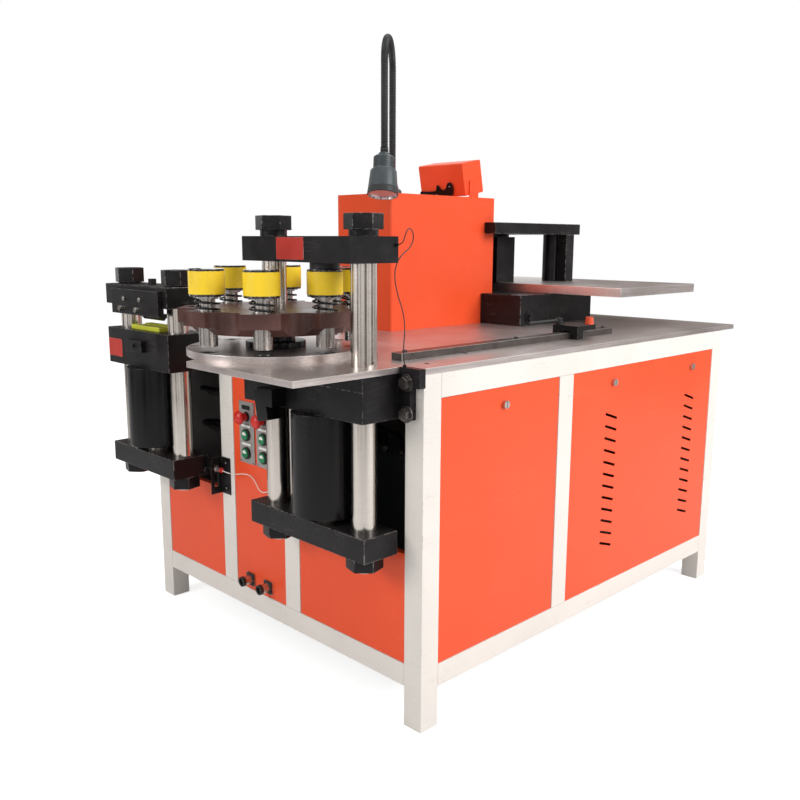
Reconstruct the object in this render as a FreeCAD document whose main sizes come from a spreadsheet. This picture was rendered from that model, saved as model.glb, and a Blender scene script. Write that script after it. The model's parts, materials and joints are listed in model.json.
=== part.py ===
import FreeCAD, Part
import math
import os
import Sketcher

# Busbar processing machine: a cabinet that carries a turret punching press, a forming
# press, a horizontal bending unit and a control tower. Lengths are millimetres. X runs
# along the front with the two doors, Y runs to the back, Z is up. The cabinet's near
# corner on the floor is the working zero, and every node is then shifted so that the
# middle of the machine's footprint is the origin.

SIZES = {
    # Cabinet frame of square tube
    "cabinet_width": 1490.0,
    "cabinet_depth": 1230.0,
    "tube_width": 60.0,
    "tube_wall": 4.0,
    "rail_bottom_z": 105.0,
    "table_z": 895.0,
    "front_post_x": 535.0,
    "post_width": 66.0,
    "near_post_y": 473.0,
    "far_post_y": 781.0,
    # Sheet panels, doors and their cam locks
    "sheet": 2.0,
    "panel_depth": 20.0,
    "panel_recess": 2.0,
    "panel_gap": 0.8,
    "low_panel_top_z": 450.0,
    "vent_length": 66.0,
    "vent_width": 7.0,
    "vent_pitch": 36.2,
    "vent_top_z": 694.0,
    "lock_drop": 46.0,
    "lock_head_radius": 10.5,
    "lock_proud": 8.0,
    "lock_barrel_radius": 8.0,
    "lock_slot_width": 2.5,
    "lock_slot_depth": 3.0,
    "cam_length": 36.0,
    "cam_width": 18.0,
    "cam_thickness": 3.0,
    "catch_width": 40.0,
    "catch_drop": 20.0,
    # Table plates
    "table_thickness": 15.0,
    "table_overhang": 91.0,
    "turret_plate_reach": 328.0,
    "turret_plate_near_y": 60.0,
    "turret_plate_corner_y": 475.0,
    "turret_plate_far_y": 640.0,
    # Fits and clearances
    "running_fit": 0.05,
    "seat_gap": 0.3,
    "overrun": 5.0,
    # Turret press
    "press_out": 72.0,
    "near_column_y": 124.0,
    "column_spacing": 338.0,
    "column_radius": 31.0,
    "press_stroke": 25.0,
    "top_beam_z": 1146.0,
    "beam_height": 60.0,
    "top_beam_width": 146.0,
    "top_beam_length": 410.0,
    "beam_end": 38.0,
    "lower_beam_z": 454.0,
    "lower_beam_width": 108.0,
    "lower_beam_length": 450.0,
    "lower_beam_end": 58.0,
    "collar_radius": 34.0,
    "collar_height": 15.0,
    "nut_radius": 46.0,
    "nut_height": 36.0,
    "column_tip": 4.0,
    "block_width": 111.0,
    "block_standoff": 20.0,
    "block_near_y": 65.0,
    "block_length": 460.0,
    "block_height": 73.0,
    "support_height": 35.0,
    "support_length": 495.0,
    "mount_near_y": 25.0,
    "mount_length": 535.0,
    "lip_near_y": -5.0,
    "cylinder_radius": 88.0,
    "cylinder_bore_radius": 62.5,
    "cylinder_length": 257.0,
    "gland_height": 30.0,
    "ram_radius": 35.0,
    "piston_height": 60.0,
    "piston_top_gap": 20.0,
    "seal_ring_height": 6.0,
    "seal_ring_depth": 4.0,
    "hammer_radius": 36.0,
    "slug_hole_radius": 26.0,
    "plate_bolt_radius": 15.0,
    "plate_washer_radius": 20.0,
    "plate_bolt_head": 12.0,
    "plate_washer_thickness": 3.0,
    "plate_bolt_y": 40.0,
    "plate_bolt_low_z": 802.0,
    "plate_bolt_high_z": 876.0,
    # Slug chute on the press block
    "chute_near_y": 345.0,
    "chute_length": 62.0,
    "chute_out": 44.0,
    "chute_top_z": 838.0,
    "chute_height": 44.0,
    "chute_drop": 78.0,
    "chute_wall": 3.0,
    # Turret
    "station_radius": 200.0,
    "die_disc_radius": 226.0,
    "die_disc_height": 18.0,
    "die_radius": 25.0,
    "hub_radius": 50.0,
    "skirt_radius": 77.0,
    "skirt_height": 15.0,
    "disc_corner_radius": 259.0,
    "disc_z": 992.0,
    "disc_height": 36.0,
    "disc_boss_radius": 220.0,
    "disc_boss_height": 20.0,
    "scallop_radius": 48.0,
    "scallop_centre": 248.0,
    "disc_chamfer": 20.0,
    "guide_radius": 22.5,
    "guide_z": 943.0,
    "guide_rise": 4.0,
    # Punches, pads and return springs
    "shank_radius": 19.0,
    "shank_gap": 3.0,
    "neck_radius": 24.5,
    "neck_height": 6.0,
    "spring_seat_radius": 33.0,
    "spring_seat_height": 3.0,
    "pad_z": 1069.0,
    "pad_height": 60.0,
    "pad_radius": 43.5,
    "pad_disc_height": 5.0,
    "pad_disc_radius": 42.5,
    "pad_bore_radius": 20.0,
    "spring_wire": 5.0,
    "spring_radius": 29.0,
    "spring_end_gap": 0.4,
    # Forming press
    "forming_out": 91.0,
    "forming_spacing": 280.0,
    "forming_block_z": 816.0,
    "forming_block_height": 111.0,
    "forming_block_width": 130.0,
    "forming_block_lead": 40.0,
    "forming_block_length": 364.0,
    "forming_mount_lead": 50.0,
    "forming_mount_inset": 2.0,
    "forming_top_z": 1001.0,
    "forming_beam_height": 61.0,
    "forming_beam_width": 118.0,
    "forming_beam_lead": 42.0,
    "forming_beam_length": 368.0,
    "forming_lower_z": 497.0,
    "forming_cylinder_length": 241.0,
    "forming_nut_height": 48.0,
    "forming_nut_radius": 45.0,
    "lifting_knob_radius": 12.0,
    "lifting_knob_height": 18.0,
    "target_bolt_radius": 9.0,
    "target_bolt_head": 8.0,
    "target_bolt_inset": 107.0,
    "tool_block_lead": 19.0,
    "tool_block_length": 279.0,
    "tool_block_thickness": 15.0,
    "tool_block_z": 976.0,
    "tool_block_height": 74.0,
    "tool_offset": 79.0,
    "tool_length": 121.0,
    "tool_tip_z": 956.0,
    "tool_width": 30.0,
    "tool_screw_radius": 7.0,
    "tool_screw_head": 6.0,
    "tool_knob_radius": 8.0,
    "tool_knob_length": 20.0,
    "die_strip_offset": 48.0,
    "die_strip_length": 170.0,
    "die_strip_width": 70.0,
    "die_strip_height": 14.0,
    "die_groove_width": 18.0,
    "side_stop_offset": 92.0,
    "side_stop_length": 92.0,
    "side_stop_height": 34.0,
    "side_stop_drop": 62.0,
    "side_stop_out": 15.0,
    # Operator plates, switches and connectors on the middle side panel
    "plate_low_z": 555.0,
    "plate_height": 183.0,
    "plate_width": 72.0,
    "plate_thickness": 4.0,
    "plate_far_y": 672.0,
    "plate_near_y": 589.0,
    "stop_button_rise": 139.0,
    "stop_head_radius": 20.0,
    "stop_head_height": 14.0,
    "stop_neck_radius": 12.0,
    "stop_neck_height": 16.0,
    "stop_travel": 6.0,
    "stem_radius": 6.0,
    "stem_length": 24.0,
    "green_high_rise": 85.0,
    "green_low_rise": 31.0,
    "green_radius": 14.0,
    "green_height": 8.0,
    "green_travel": 3.0,
    "bezel_radius": 18.0,
    "bezel_height": 6.0,
    "switch_body_radius": 15.0,
    "switch_body_length": 40.0,
    "connector_far_y": 708.0,
    "connector_near_y": 621.0,
    "connector_z": 198.0,
    "connector_flange": 38.0,
    "connector_flange_thickness": 4.0,
    "connector_radius": 14.0,
    "connector_length": 32.0,
    "connector_bore_radius": 10.0,
    # Limit switch angle on the far side post
    "angle_z": 438.0,
    "angle_height": 113.0,
    "angle_thickness": 3.0,
    "angle_flange": 40.0,
    "angle_leg": 48.0,
    "angle_y": 800.0,
    "slot_width": 13.0,
    "slot_length": 70.0,
    "angle_hole_radius": 4.0,
    "sensor_radius": 6.0,
    "sensor_length": 50.0,
    "sensor_rise": 78.0,
    "sensor_nut_radius": 10.0,
    "sensor_nut_height": 4.0,
    # Control tower, lamp and control box
    "tower_x": 512.0,
    "tower_y": 638.5,
    "tower_width": 506.0,
    "tower_depth": 258.5,
    "tower_height": 433.0,
    "tower_sheet": 3.0,
    "tower_rounding": 6.0,
    "lamp_base_x": 590.0,
    "lamp_base_y": 715.0,
    "lamp_base_radius": 30.0,
    "lamp_base_height": 46.0,
    "neck_tube_radius": 11.5,
    "lamp_span": 164.0,
    "lamp_bend_z": 1720.0,
    "lamp_collar_z": 1445.0,
    "lamp_collar_radius": 17.5,
    "lamp_collar_height": 10.0,
    "lamp_knuckle_radius": 11.0,
    "lamp_stem_radius": 9.0,
    "lamp_stem_height": 10.0,
    "lamp_body_radius": 32.0,
    "lamp_body_height": 41.0,
    "lamp_shade_radius": 47.5,
    "lamp_shade_top_radius": 40.0,
    "lamp_shade_height": 78.0,
    "lamp_shade_wall": 2.5,
    "box_x": 912.0,
    "box_y": 690.0,
    "box_width": 97.0,
    "box_depth": 208.0,
    "box_height": 112.0,
    "box_gap": 14.5,
    "box_pivot_rise": 34.0,
    "box_pin_radius": 6.0,
    "ear_thickness": 5.0,
    "ear_width": 46.0,
    "box_rounding": 6.0,
    "box_wall": 3.0,
    "screen_inset": 14.0,
    "screen_depth": 2.0,
    # Bending unit
    "bend_base_x": 1020.0,
    "bend_base_width": 356.0,
    "bend_base_y": 460.0,
    "bend_base_depth": 540.0,
    "bend_base_height": 105.0,
    "bend_toe_width": 70.0,
    "bend_toe_depth": 176.0,
    "bend_foot_radius": 22.0,
    "bend_plate_x": 1118.0,
    "bend_plate_width": 502.0,
    "bend_plate_y": 178.0,
    "bend_plate_depth": 822.0,
    "bend_plate_thickness": 30.0,
    "bend_ram_x": 1108.0,
    "bend_ram_width": 133.0,
    "bend_ram_y": 696.0,
    "bend_ram_depth": 150.0,
    "bend_ram_height": 166.0,
    "bend_nose_radius": 30.0,
    "bend_post_x": 1405.0,
    "bend_post_y": 665.0,
    "bend_post_spacing": 257.0,
    "bend_post_radius": 35.0,
    "bend_head_z": 1221.0,
    "bend_head_height": 39.0,
    "bend_head_far_x": 1475.0,
    "bend_head_y": 587.0,
    "bend_head_depth": 373.0,
    "bend_head_toe": 57.0,
    "bend_head_toe_depth": 49.0,
    "bend_leg_x": 1387.0,
    "bend_leg_width": 51.0,
    "bend_leg_depth": 39.0,
    "bend_flange_width": 62.0,
    "bend_cylinder_radius": 60.0,
    "bend_cylinder_bore_radius": 45.0,
    "bend_cylinder_length": 300.0,
    "bend_rod_radius": 25.0,
    # Fence with its sliding stop
    "fence_x": 50.0,
    "fence_y": 122.0,
    "fence_length": 935.0,
    "fence_width": 37.0,
    "fence_height": 19.0,
    "fence_screw_radius": 6.0,
    "fence_screw_head": 5.0,
    "stop_x": 752.0,
    "stop_width": 96.0,
    "stop_block_height": 16.0,
    "stop_finger": 26.0,
    "stop_finger_width": 30.0,
    "stop_knob_radius": 13.0,
    "stop_knob_height": 22.0,
    "stop_screw_radius": 4.0,
    "lever_length": 150.0,
    "lever_radius": 5.0,
    "lever_hub_radius": 11.0,
    "lever_hub_height": 18.0,
    # Hydraulic power pack inside the cabinet
    "tank_x": 560.0,
    "tank_y": 380.0,
    "tank_width": 620.0,
    "tank_depth": 460.0,
    "tank_height": 300.0,
    "tank_wall": 4.0,
    "tank_lid": 10.0,
    "motor_radius": 95.0,
    "motor_height": 250.0,
    "motor_flange_radius": 110.0,
    "motor_flange_height": 18.0,
    "motor_inset": 160.0,
    "pump_radius": 45.0,
    "pump_length": 130.0,
    "coupling_radius": 24.0,
    "coupling_height": 30.0,
    "breather_radius": 26.0,
    "breather_height": 60.0,
    "valve_y": 851.0,
    "valve_z": 545.0,
    "valve_width": 80.0,
    "valve_depth": 79.0,
    "valve_height": 225.0,
    "swivel_radius": 9.0,
    "swivel_length": 55.0,
    "crimp_radius": 13.0,
    "crimp_length": 70.0,
    "hose_radius": 8.0,
    "port_radius": 14.0,
    "port_height": 20.0,
    "wire_radius": 1.3,
    "clip_radius": 4.0,
    "clip_length": 6.0,
    "gland_block": 12.0,
}

COUNTS = {
    "stations": 8,
    "vents_in_column": 12,
    "spring_turns": 2,
}

# Degrees. The first station lies on the far column's +X side, and the rest follow it
# anticlockwise. The station whose bore is empty is left out of the list of punches.
ANGLES = {
    "punch_stations": [270, 315, 0, 45, 90, 180, 225],
    "vent_slope": -18.0,
    "box_tilt": -11.0,
    "chute_slope": 12.0,
    "lamp_turn": 37.5,
    "lamp_lean": 15.0,
    "nut_turn": 15.0,
}

# Shares of the size that each name gives
forming_place_share = 912 / 1230
mouth_share = 0.6
lens_shares = (0.08, 0.13)
vent_column_shares = (0.2497, 0.8263)
die_bore_shares = [0.56, 0.24, 0.32, 0.40, 0.48, 0.64, 0.72]
punch_tip_share = 0.94
knob_top_share = 0.86
valve_port_shares = (0.24, 0.76)
target_bolt_share = 0.25
tool_screw_first_share = 0.36
tool_screw_step_share = 0.34
tool_screw_high_share = 0.62
tool_screw_low_share = 0.24
angle_hole_shares = (0.15, 0.85)
lamp_casting_share = 0.35
lamp_cap_share = 0.8
neck_socket_share = 1.3
bend_foot_share = 1.2
bend_bore_end_share = 1.5
fence_screw_shares = (0.03, 0.5, 0.97)
stop_edge_share = 1.2
lever_height_share = 0.6
cord_arc_share = 0.45


# Routes of the free wires and of the hoses, as points chosen along the way
BEAM_WIRE = (
    (-6, 80, 1187), (-6, 64, 1190), (-5, 58, 1210), (4, 57, 1226), (20, 58, 1218), (24, 60, 1198),
    (12, 61, 1179), (-8, 62, 1168), (-26, 64, 1148), (-34, 64, 1118), (-26, 61, 1076),
    (-8, 59, 1034), (-6, 56, 992), (-14, 53, 956), (-16, 50, 932), (-15, 48, 916.3),
)
SENSOR_WIRE = (
    (-21.5, 821.2, 516), (-21, 806, 515), (-15, 786, 511), (-10, 758, 513), (-8, 724, 521),
    (-7, 694, 524), (-7, 672, 515), (-8, 657, 502), (-8, 645, 488), (-8, 626, 484),
    (-7, 603, 492), (-6, 580, 503), (-6, 564, 506), (-6, 552, 506),
)
UPPER_HOSE = (
    (100, 1055, 716), (100, 1100, 716), (122, 1142, 712), (165, 1168, 700), (215, 1172, 680),
    (262, 1152, 655), (300, 1115, 630), (340, 1070, 610), (400, 1000, 590), (465, 925, 580),
    (530, 850, 582), (575, 800, 578), (608, 778, 555), (620, 775, 525), (620, 775, 495),
)
LOWER_HOSE = (
    (100, 1055, 599), (100, 1098, 599), (120, 1135, 597), (160, 1152, 590), (210, 1135, 580),
    (255, 1100, 572), (310, 1030, 566), (380, 940, 562), (450, 850, 562), (520, 765, 565),
    (575, 712, 562), (608, 694, 545), (620, 694, 520), (620, 694, 495),
)


class Size:
    """A length: the number it has now, and the formula that document objects are bound to."""

    def __init__(self, formula, number):
        self.formula = formula
        self.number = number

    def __add__(self, other):
        return Size(f"({self.formula} + {formula_of(other)})", self.number + number_of(other))

    def __radd__(self, other):
        return Size(f"({formula_of(other)} + {self.formula})", number_of(other) + self.number)

    def __sub__(self, other):
        return Size(f"({self.formula} - {formula_of(other)})", self.number - number_of(other))

    def __rsub__(self, other):
        return Size(f"({formula_of(other)} - {self.formula})", number_of(other) - self.number)

    def __mul__(self, factor):
        return Size(f"({self.formula} * {factor!r})", self.number * factor)

    __rmul__ = __mul__

    def __truediv__(self, factor):
        return Size(f"({self.formula} / {factor!r})", self.number / factor)

    def __neg__(self):
        return Size(f"(0 - {self.formula})", -self.number)


def formula_of(value):
    return value.formula if isinstance(value, Size) else repr(value)


def number_of(value):
    return value.number if isinstance(value, Size) else value


class Names:
    """Gives each named size as size.name."""

    def __init__(self, table):
        self.table = table

    def __getattr__(self, name):
        return Size(f"Sizes.{name}", self.table[name])


doc = FreeCAD.newDocument("BusbarMachine")
sheet = doc.addObject("Spreadsheet::Sheet", "Sizes")
for row, (name, value) in enumerate(SIZES.items(), start=1):
    sheet.set(f"A{row}", name)
    sheet.set(f"B{row}", str(value))
    sheet.setAlias(f"B{row}", name)
doc.recompute()
size = Names(SIZES)
nodes = {}

# Sizes that several sub-parts are worked out from
rail_top_z = size.rail_bottom_z + size.tube_width
top_rail_z = size.table_z - size.tube_width
table_top_z = size.table_z + size.table_thickness
far_column_y = size.near_column_y + size.column_spacing
press_x = -size.press_out
forming_x = -size.forming_out
forming_near_y = size.cabinet_depth * forming_place_share
forming_block_near_y = forming_near_y - size.forming_block_lead
forming_mount_near_y = forming_near_y - size.forming_mount_lead
forming_mount_length = size.cabinet_depth - size.forming_mount_inset - forming_mount_near_y
forming_beam_near_y = forming_near_y - size.forming_beam_lead
tool_block_near_y = forming_near_y - size.tool_block_lead
tool_near_y = forming_near_y + size.tool_offset
die_strip_near_y = forming_near_y + size.die_strip_offset
side_stop_near_y = forming_near_y + size.side_stop_offset
wide_x = size.front_post_x + size.post_width
wide_width = size.cabinet_width - size.tube_width - wide_x
forming_far_y = forming_near_y + size.forming_spacing
forming_mid_y = forming_near_y + size.forming_spacing / 2
press_block_height = size.support_height + size.block_height
press_block_z = size.table_z - press_block_height
work_y = far_column_y - size.station_radius
die_top_z = table_top_z + size.die_disc_height
disc_top_z = size.disc_z + size.disc_height
pad_top_z = size.pad_z + size.pad_height
neck_top_z = size.pad_z - size.pad_disc_height
tower_top_z = table_top_z + size.tower_height
fence_top_z = table_top_z + size.fence_height
bend_base_top_z = table_top_z + size.bend_base_height
bend_plate_top_z = bend_base_top_z + size.bend_plate_thickness
right_end_x = size.bend_plate_x + size.bend_plate_width
back_y = forming_beam_near_y + size.forming_beam_length
middle_x = (right_end_x - size.turret_plate_reach) / 2
middle_y = (back_y - size.lock_proud) / 2

TURNS = {
    "X": FreeCAD.Rotation(FreeCAD.Vector(0, 1, 0), 90),
    "Y": FreeCAD.Rotation(FreeCAD.Vector(1, 0, 0), -90),
    "Z": FreeCAD.Rotation(),
}


def bind(part, **sizes):
    """Binds each property to its formula."""
    for name, value in sizes.items():
        part.setExpression(name, formula_of(value))
    return part


def place(part, x, y, z, turn=None):
    """Puts the part's own zero at x, y, z."""
    base = FreeCAD.Vector(number_of(x), number_of(y), number_of(z))
    part.Placement = FreeCAD.Placement(base, turn or FreeCAD.Rotation())
    for axis, value in zip("xyz", (x, y, z)):
        part.setExpression(f"Placement.Base.{axis}", formula_of(value))
    return part


def box(x, y, z, width, depth, height, turn=None):
    part = bind(doc.addObject("Part::Box", "Box"), Length=width, Width=depth, Height=height)
    return place(part, x, y, z, turn)


def rod(x, y, z, radius, length, axis="Z"):
    """A cylinder that starts at x, y, z and runs along the axis."""
    part = bind(doc.addObject("Part::Cylinder", "Rod"), Radius=radius, Height=length)
    return place(part, x, y, z, TURNS[axis])


def taper(x, y, z, start_radius, end_radius, length, axis="Z"):
    part = doc.addObject("Part::Cone", "Taper")
    bind(part, Radius1=start_radius, Radius2=end_radius, Height=length)
    return place(part, x, y, z, TURNS[axis])


def hexagon(x, y, z, radius, length, axis="Z", turn=0):
    part = doc.addObject("Part::Prism", "Hexagon")
    part.Polygon = 6
    bind(part, Circumradius=radius, Height=length)
    own_turn = FreeCAD.Rotation(FreeCAD.Vector(0, 0, 1), turn)
    return place(part, x, y, z, TURNS[axis].multiply(own_turn))


def cut(base, *tools):
    part = doc.addObject("Part::Cut", "Cut")
    part.Base = base
    part.Tool = tools[0] if len(tools) == 1 else join(*tools)
    return part


def join(*pieces):
    part = doc.addObject("Part::MultiFuse", "Join")
    part.Shapes = list(pieces)
    return part


def hole(x, y, z, radius, length, axis="Z"):
    """A cutting rod that overruns the given length at both ends."""
    shift = {"X": (1, 0, 0), "Y": (0, 1, 0), "Z": (0, 0, 1)}[axis]
    start = [value - size.overrun * step for value, step in zip((x, y, z), shift)]
    return rod(*start, radius, length + size.overrun * 2, axis)


def pipe(x, y, z, radius, bore_radius, length, axis="Z"):
    return cut(rod(x, y, z, radius, length, axis), hole(x, y, z, bore_radius, length, axis))


def tube(x, y, z, width, depth, height):
    """A square tube with closed ends."""
    wall = size.tube_wall
    inside = box(x + wall, y + wall, z + wall, width - wall * 2, depth - wall * 2, height - wall * 2)
    return cut(box(x, y, z, width, depth, height), inside)


def rounded(base, radius, direction):
    """Rounds the straight edges that run along the direction."""
    doc.recompute()
    picked = []
    for number, edge in enumerate(base.Shape.Edges, start=1):
        if len(edge.Vertexes) < 2 or edge.Curve.TypeId != "Part::GeomLine":
            continue
        if abs(edge.tangentAt(edge.FirstParameter).dot(direction)) > 0.999:
            picked.append((number, radius.number, radius.number))
    part = doc.addObject("Part::Fillet", "Rounded")
    part.Base = base
    part.Edges = picked
    return part


def profile(points, thickness, x, y, z, plane="XY_Plane"):
    """A plate with the given outline, padded from one of its body's origin planes."""
    body = doc.addObject("PartDesign::Body", "Plate")
    sketch = body.newObject("Sketcher::SketchObject", "Outline")
    origin = next(item for item in body.Origin.OriginFeatures if item.Role == plane)
    sketch.AttachmentSupport = [(origin, "")]
    sketch.MapMode = "FlatFace"
    corners = [FreeCAD.Vector(number_of(across), number_of(along), 0) for across, along in points]
    count = len(points)
    for index in range(count):
        sketch.addGeometry(Part.LineSegment(corners[index], corners[(index + 1) % count]))
    for index in range(count):
        sketch.addConstraint(Sketcher.Constraint("Coincident", index, 2, (index + 1) % count, 1))
    for index, (across, along) in enumerate(points):
        for kind, axis, value in (("DistanceX", -2, across), ("DistanceY", -1, along)):
            if number_of(value) == 0:
                sketch.addConstraint(Sketcher.Constraint("PointOnObject", index, 1, axis))
                continue
            rule = sketch.addConstraint(Sketcher.Constraint(kind, -1, 1, index, 1, number_of(value)))
            sketch.setExpression(f"Constraints[{rule}]", formula_of(value))
    pad = body.newObject("PartDesign::Pad", "Pad")
    pad.Profile = sketch
    bind(pad, Length=thickness)
    return place(body, x, y, z)


def node(label, *pieces):
    """A named sub-part: one or more separate solids, moved to the machine's origin."""
    part = doc.addObject("Part::Compound", "Node_" + label)
    part.Label = label
    part.Links = list(pieces)
    nodes[label] = place(part, -middle_x, -middle_y, 0)
    return part


def cabinet_frame():
    """Legs, posts and rails of closed square tube, welded together."""
    tube_width = size.tube_width
    far_x = size.cabinet_width - tube_width
    far_y = size.cabinet_depth - tube_width
    pieces = []
    for x in (0, far_x):
        for y in (0, far_y):
            pieces.append(tube(x, y, 0, tube_width, tube_width, size.table_z))
    inner_width = far_x - tube_width
    inner_depth = far_y - tube_width
    for z in (size.rail_bottom_z, top_rail_z):
        for y in (0, far_y):
            pieces.append(tube(tube_width, y, z, inner_width, tube_width, tube_width))
        for x in (0, far_x):
            pieces.append(tube(x, tube_width, z, tube_width, inner_depth, tube_width))
    post_height = top_rail_z - rail_top_z
    for y in (0, far_y):
        pieces.append(tube(size.front_post_x, y, rail_top_z, size.post_width, tube_width, post_height))
    for y in (size.near_post_y, size.far_post_y):
        pieces.append(tube(0, y, rail_top_z, tube_width, size.post_width, post_height))
    node("cabinet_frame", *pieces)


def tray(x, y, z, width, depth, height, open_side):
    """A folded sheet panel whose open side faces into the cabinet."""
    thin = size.sheet
    start = [x + thin, y + thin, z + thin]
    inside = [width - thin * 2, depth - thin * 2, height - thin * 2]
    across = "XY".index(open_side[1])
    inside[across] = (width, depth)[across]
    if open_side[0] == "-":
        start[across] = start[across] - thin * 2
    return cut(box(x, y, z, width, depth, height), box(*start, *inside))


def front_doors():
    """Two lift-off doors with returned edges; the wide one has two columns of slanted vents."""
    y = size.panel_recess
    gap = size.panel_gap
    height = top_rail_z - rail_top_z - gap
    far_leg_x = size.cabinet_width - size.tube_width
    spans = ((size.tube_width, size.front_post_x), (size.front_post_x + size.post_width, far_leg_x))
    doors = []
    for start, end in spans:
        door = tray(start + gap, y, rail_top_z, end - start - gap * 2, size.panel_depth, height, "+Y")
        doors.append(door)
    turn = FreeCAD.Rotation(FreeCAD.Vector(0, 1, 0), -ANGLES["vent_slope"])
    slots = []
    for share in vent_column_shares:
        middle = wide_x + wide_width * share
        for line in range(COUNTS["vents_in_column"]):
            slot_z = size.vent_top_z - size.vent_pitch * line
            slots.append(box(middle - size.vent_length / 2, y - size.overrun, slot_z,
                             size.vent_length, size.overrun + size.sheet * 2, size.vent_width, turn))
    bores = [hole(x, y, top_rail_z - size.lock_drop, size.lock_barrel_radius, size.sheet, "Y")
             for x in lock_places()]
    node("front_door_narrow", cut(doors[0], bores[0]))
    node("front_door_wide", cut(doors[1], *slots, *bores[1:]))


def lock_places():
    """The middle of the narrow door, and a place on the wide one above each column of vents."""
    places = [(size.tube_width + size.front_post_x) / 2]
    for share in vent_column_shares:
        places.append(wide_x + wide_width * share)
    return places


def cam_locks():
    """Quarter-turn locks: a slotted head, a barrel through the door, and a cam behind a catch."""
    z = top_rail_z - size.lock_drop
    inner_y = size.panel_recess + size.panel_depth + size.seat_gap + size.cam_thickness + size.seat_gap
    for number, x in enumerate(lock_places(), start=1):
        head = rod(x, -size.lock_proud, z, size.lock_head_radius, size.lock_proud + size.panel_recess
                   - size.seat_gap, "Y")
        slot = box(x - size.lock_slot_width / 2, -size.lock_proud - size.overrun,
                   z - size.lock_head_radius, size.lock_slot_width,
                   size.overrun + size.lock_slot_depth, size.lock_head_radius * 2)
        barrel = rod(x, 0, z, size.lock_barrel_radius - size.running_fit, inner_y, "Y")
        cam = box(x - size.cam_width / 2, inner_y, z - size.cam_width / 2,
                  size.cam_width, size.cam_thickness, size.cam_length + size.cam_width / 2)
        node(f"door_lock_{number}", join(cut(head, slot), barrel, cam))


def cabinet_panels():
    """Side, back and end panels, the cabinet floor and the catches of the door locks."""
    gap = size.panel_gap
    recess = size.panel_recess
    full = top_rail_z - rail_top_z - gap
    low = size.low_panel_top_z - rail_top_z
    far_y = size.cabinet_depth - size.tube_width
    far_x = size.cabinet_width - size.tube_width
    near_post_end = size.near_post_y + size.post_width
    far_post_end = size.far_post_y + size.post_width
    sides = ((size.tube_width, size.near_post_y, low), (near_post_end, size.far_post_y, full),
             (far_post_end, far_y, low))
    pieces = []
    for index, (start, end, height) in enumerate(sides):
        panel = tray(recess, start + gap, rail_top_z, size.panel_depth, end - start - gap * 2,
                     height, "+X")
        if index == 1:
            bores = []
            for y in plate_middles():
                bores.append(hole(recess, y, size.plate_low_z + size.stop_button_rise,
                                  size.switch_body_radius, size.sheet, "X"))
                for rise in (size.green_high_rise, size.green_low_rise):
                    bores.append(hole(recess, y, size.plate_low_z + rise,
                                      size.switch_body_radius, size.sheet, "X"))
            panel = cut(panel, *bores)
        pieces.append(panel)
    back_y_face = size.cabinet_depth - recess - size.panel_depth
    post_end = size.front_post_x + size.post_width
    for start, end in ((size.tube_width, size.front_post_x), (post_end, far_x)):
        pieces.append(tray(start + gap, back_y_face, rail_top_z, end - start - gap * 2,
                           size.panel_depth, full, "-Y"))
    pieces.append(tray(size.cabinet_width - recess - size.panel_depth, size.tube_width + gap,
                       rail_top_z, size.panel_depth, far_y - size.tube_width - gap * 2, full, "-X"))
    pieces.append(box(size.tube_width, size.tube_width, rail_top_z - size.sheet,
                      far_x - size.tube_width, far_y - size.tube_width, size.sheet))
    for lock_x in lock_places():
        pieces.append(box(lock_x - size.catch_width / 2,
                          recess + size.panel_depth + size.seat_gap,
                          top_rail_z - size.catch_drop, size.catch_width,
                          size.cam_thickness, size.catch_drop))
    node("cabinet_panels", *pieces)


def plate_middles():
    half = size.plate_width / 2
    return (size.plate_near_y + half, size.plate_far_y + half)


def table_plates():
    """The plate over the cabinet, and the one outside that the turret turns on."""
    top = box(0, 0, size.table_z, size.cabinet_width + size.table_overhang,
              size.cabinet_depth, size.table_thickness)
    near = size.turret_plate_near_y
    points = ((0, 0), (size.turret_plate_reach, 0), (size.turret_plate_reach, size.turret_plate_far_y - near),
              (0, size.turret_plate_corner_y - near))
    plate = profile(points, size.table_thickness, -size.turret_plate_reach, near, size.table_z)
    bores = [hole(press_x, y, size.table_z, size.column_radius + size.running_fit, size.table_thickness)
             for y in (size.near_column_y, far_column_y)]
    slug = hole(press_x, work_y, size.table_z, size.slug_hole_radius, size.table_thickness)
    node("table_plates", top, cut(plate, *bores, slug))


def mount_plates():
    """Thick plates on the side of the cabinet that carry both presses, with a lip at the corner."""
    out = size.block_standoff
    press = box(-out, size.mount_near_y, size.table_z - press_block_height, out, size.mount_length,
                press_block_height)
    lip = box(-out, size.lip_near_y, size.table_z, out,
              size.turret_plate_near_y - size.lip_near_y, size.table_thickness)
    lip_hook = box(-out, size.lip_near_y, size.table_z - size.tube_width / 2, out,
                   size.mount_near_y - size.lip_near_y, size.tube_width / 2)
    forming = box(-out, forming_mount_near_y, size.forming_block_z, out,
                  forming_mount_length, size.table_z - size.forming_block_z)
    bolts = []
    for z in (size.plate_bolt_low_z, size.plate_bolt_high_z):
        bolts.append(bolt(-out, size.plate_bolt_y + size.lip_near_y, z))
    gland = rod(BEAM_WIRE[-1][0], BEAM_WIRE[-1][1], table_top_z, size.clip_radius, size.clip_length)
    node("press_mounts", join(press, lip, lip_hook, gland), forming, *bolts)


def bolt(x, y, z):
    """A washer and a hexagon head on a face that looks along -X."""
    washer = rod(x - size.plate_washer_thickness, y, z, size.plate_washer_radius,
                 size.plate_washer_thickness, "X")
    head = hexagon(x - size.plate_washer_thickness - size.plate_bolt_head, y, z,
                   size.plate_bolt_radius, size.plate_bolt_head, "X")
    return join(washer, head)


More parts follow.
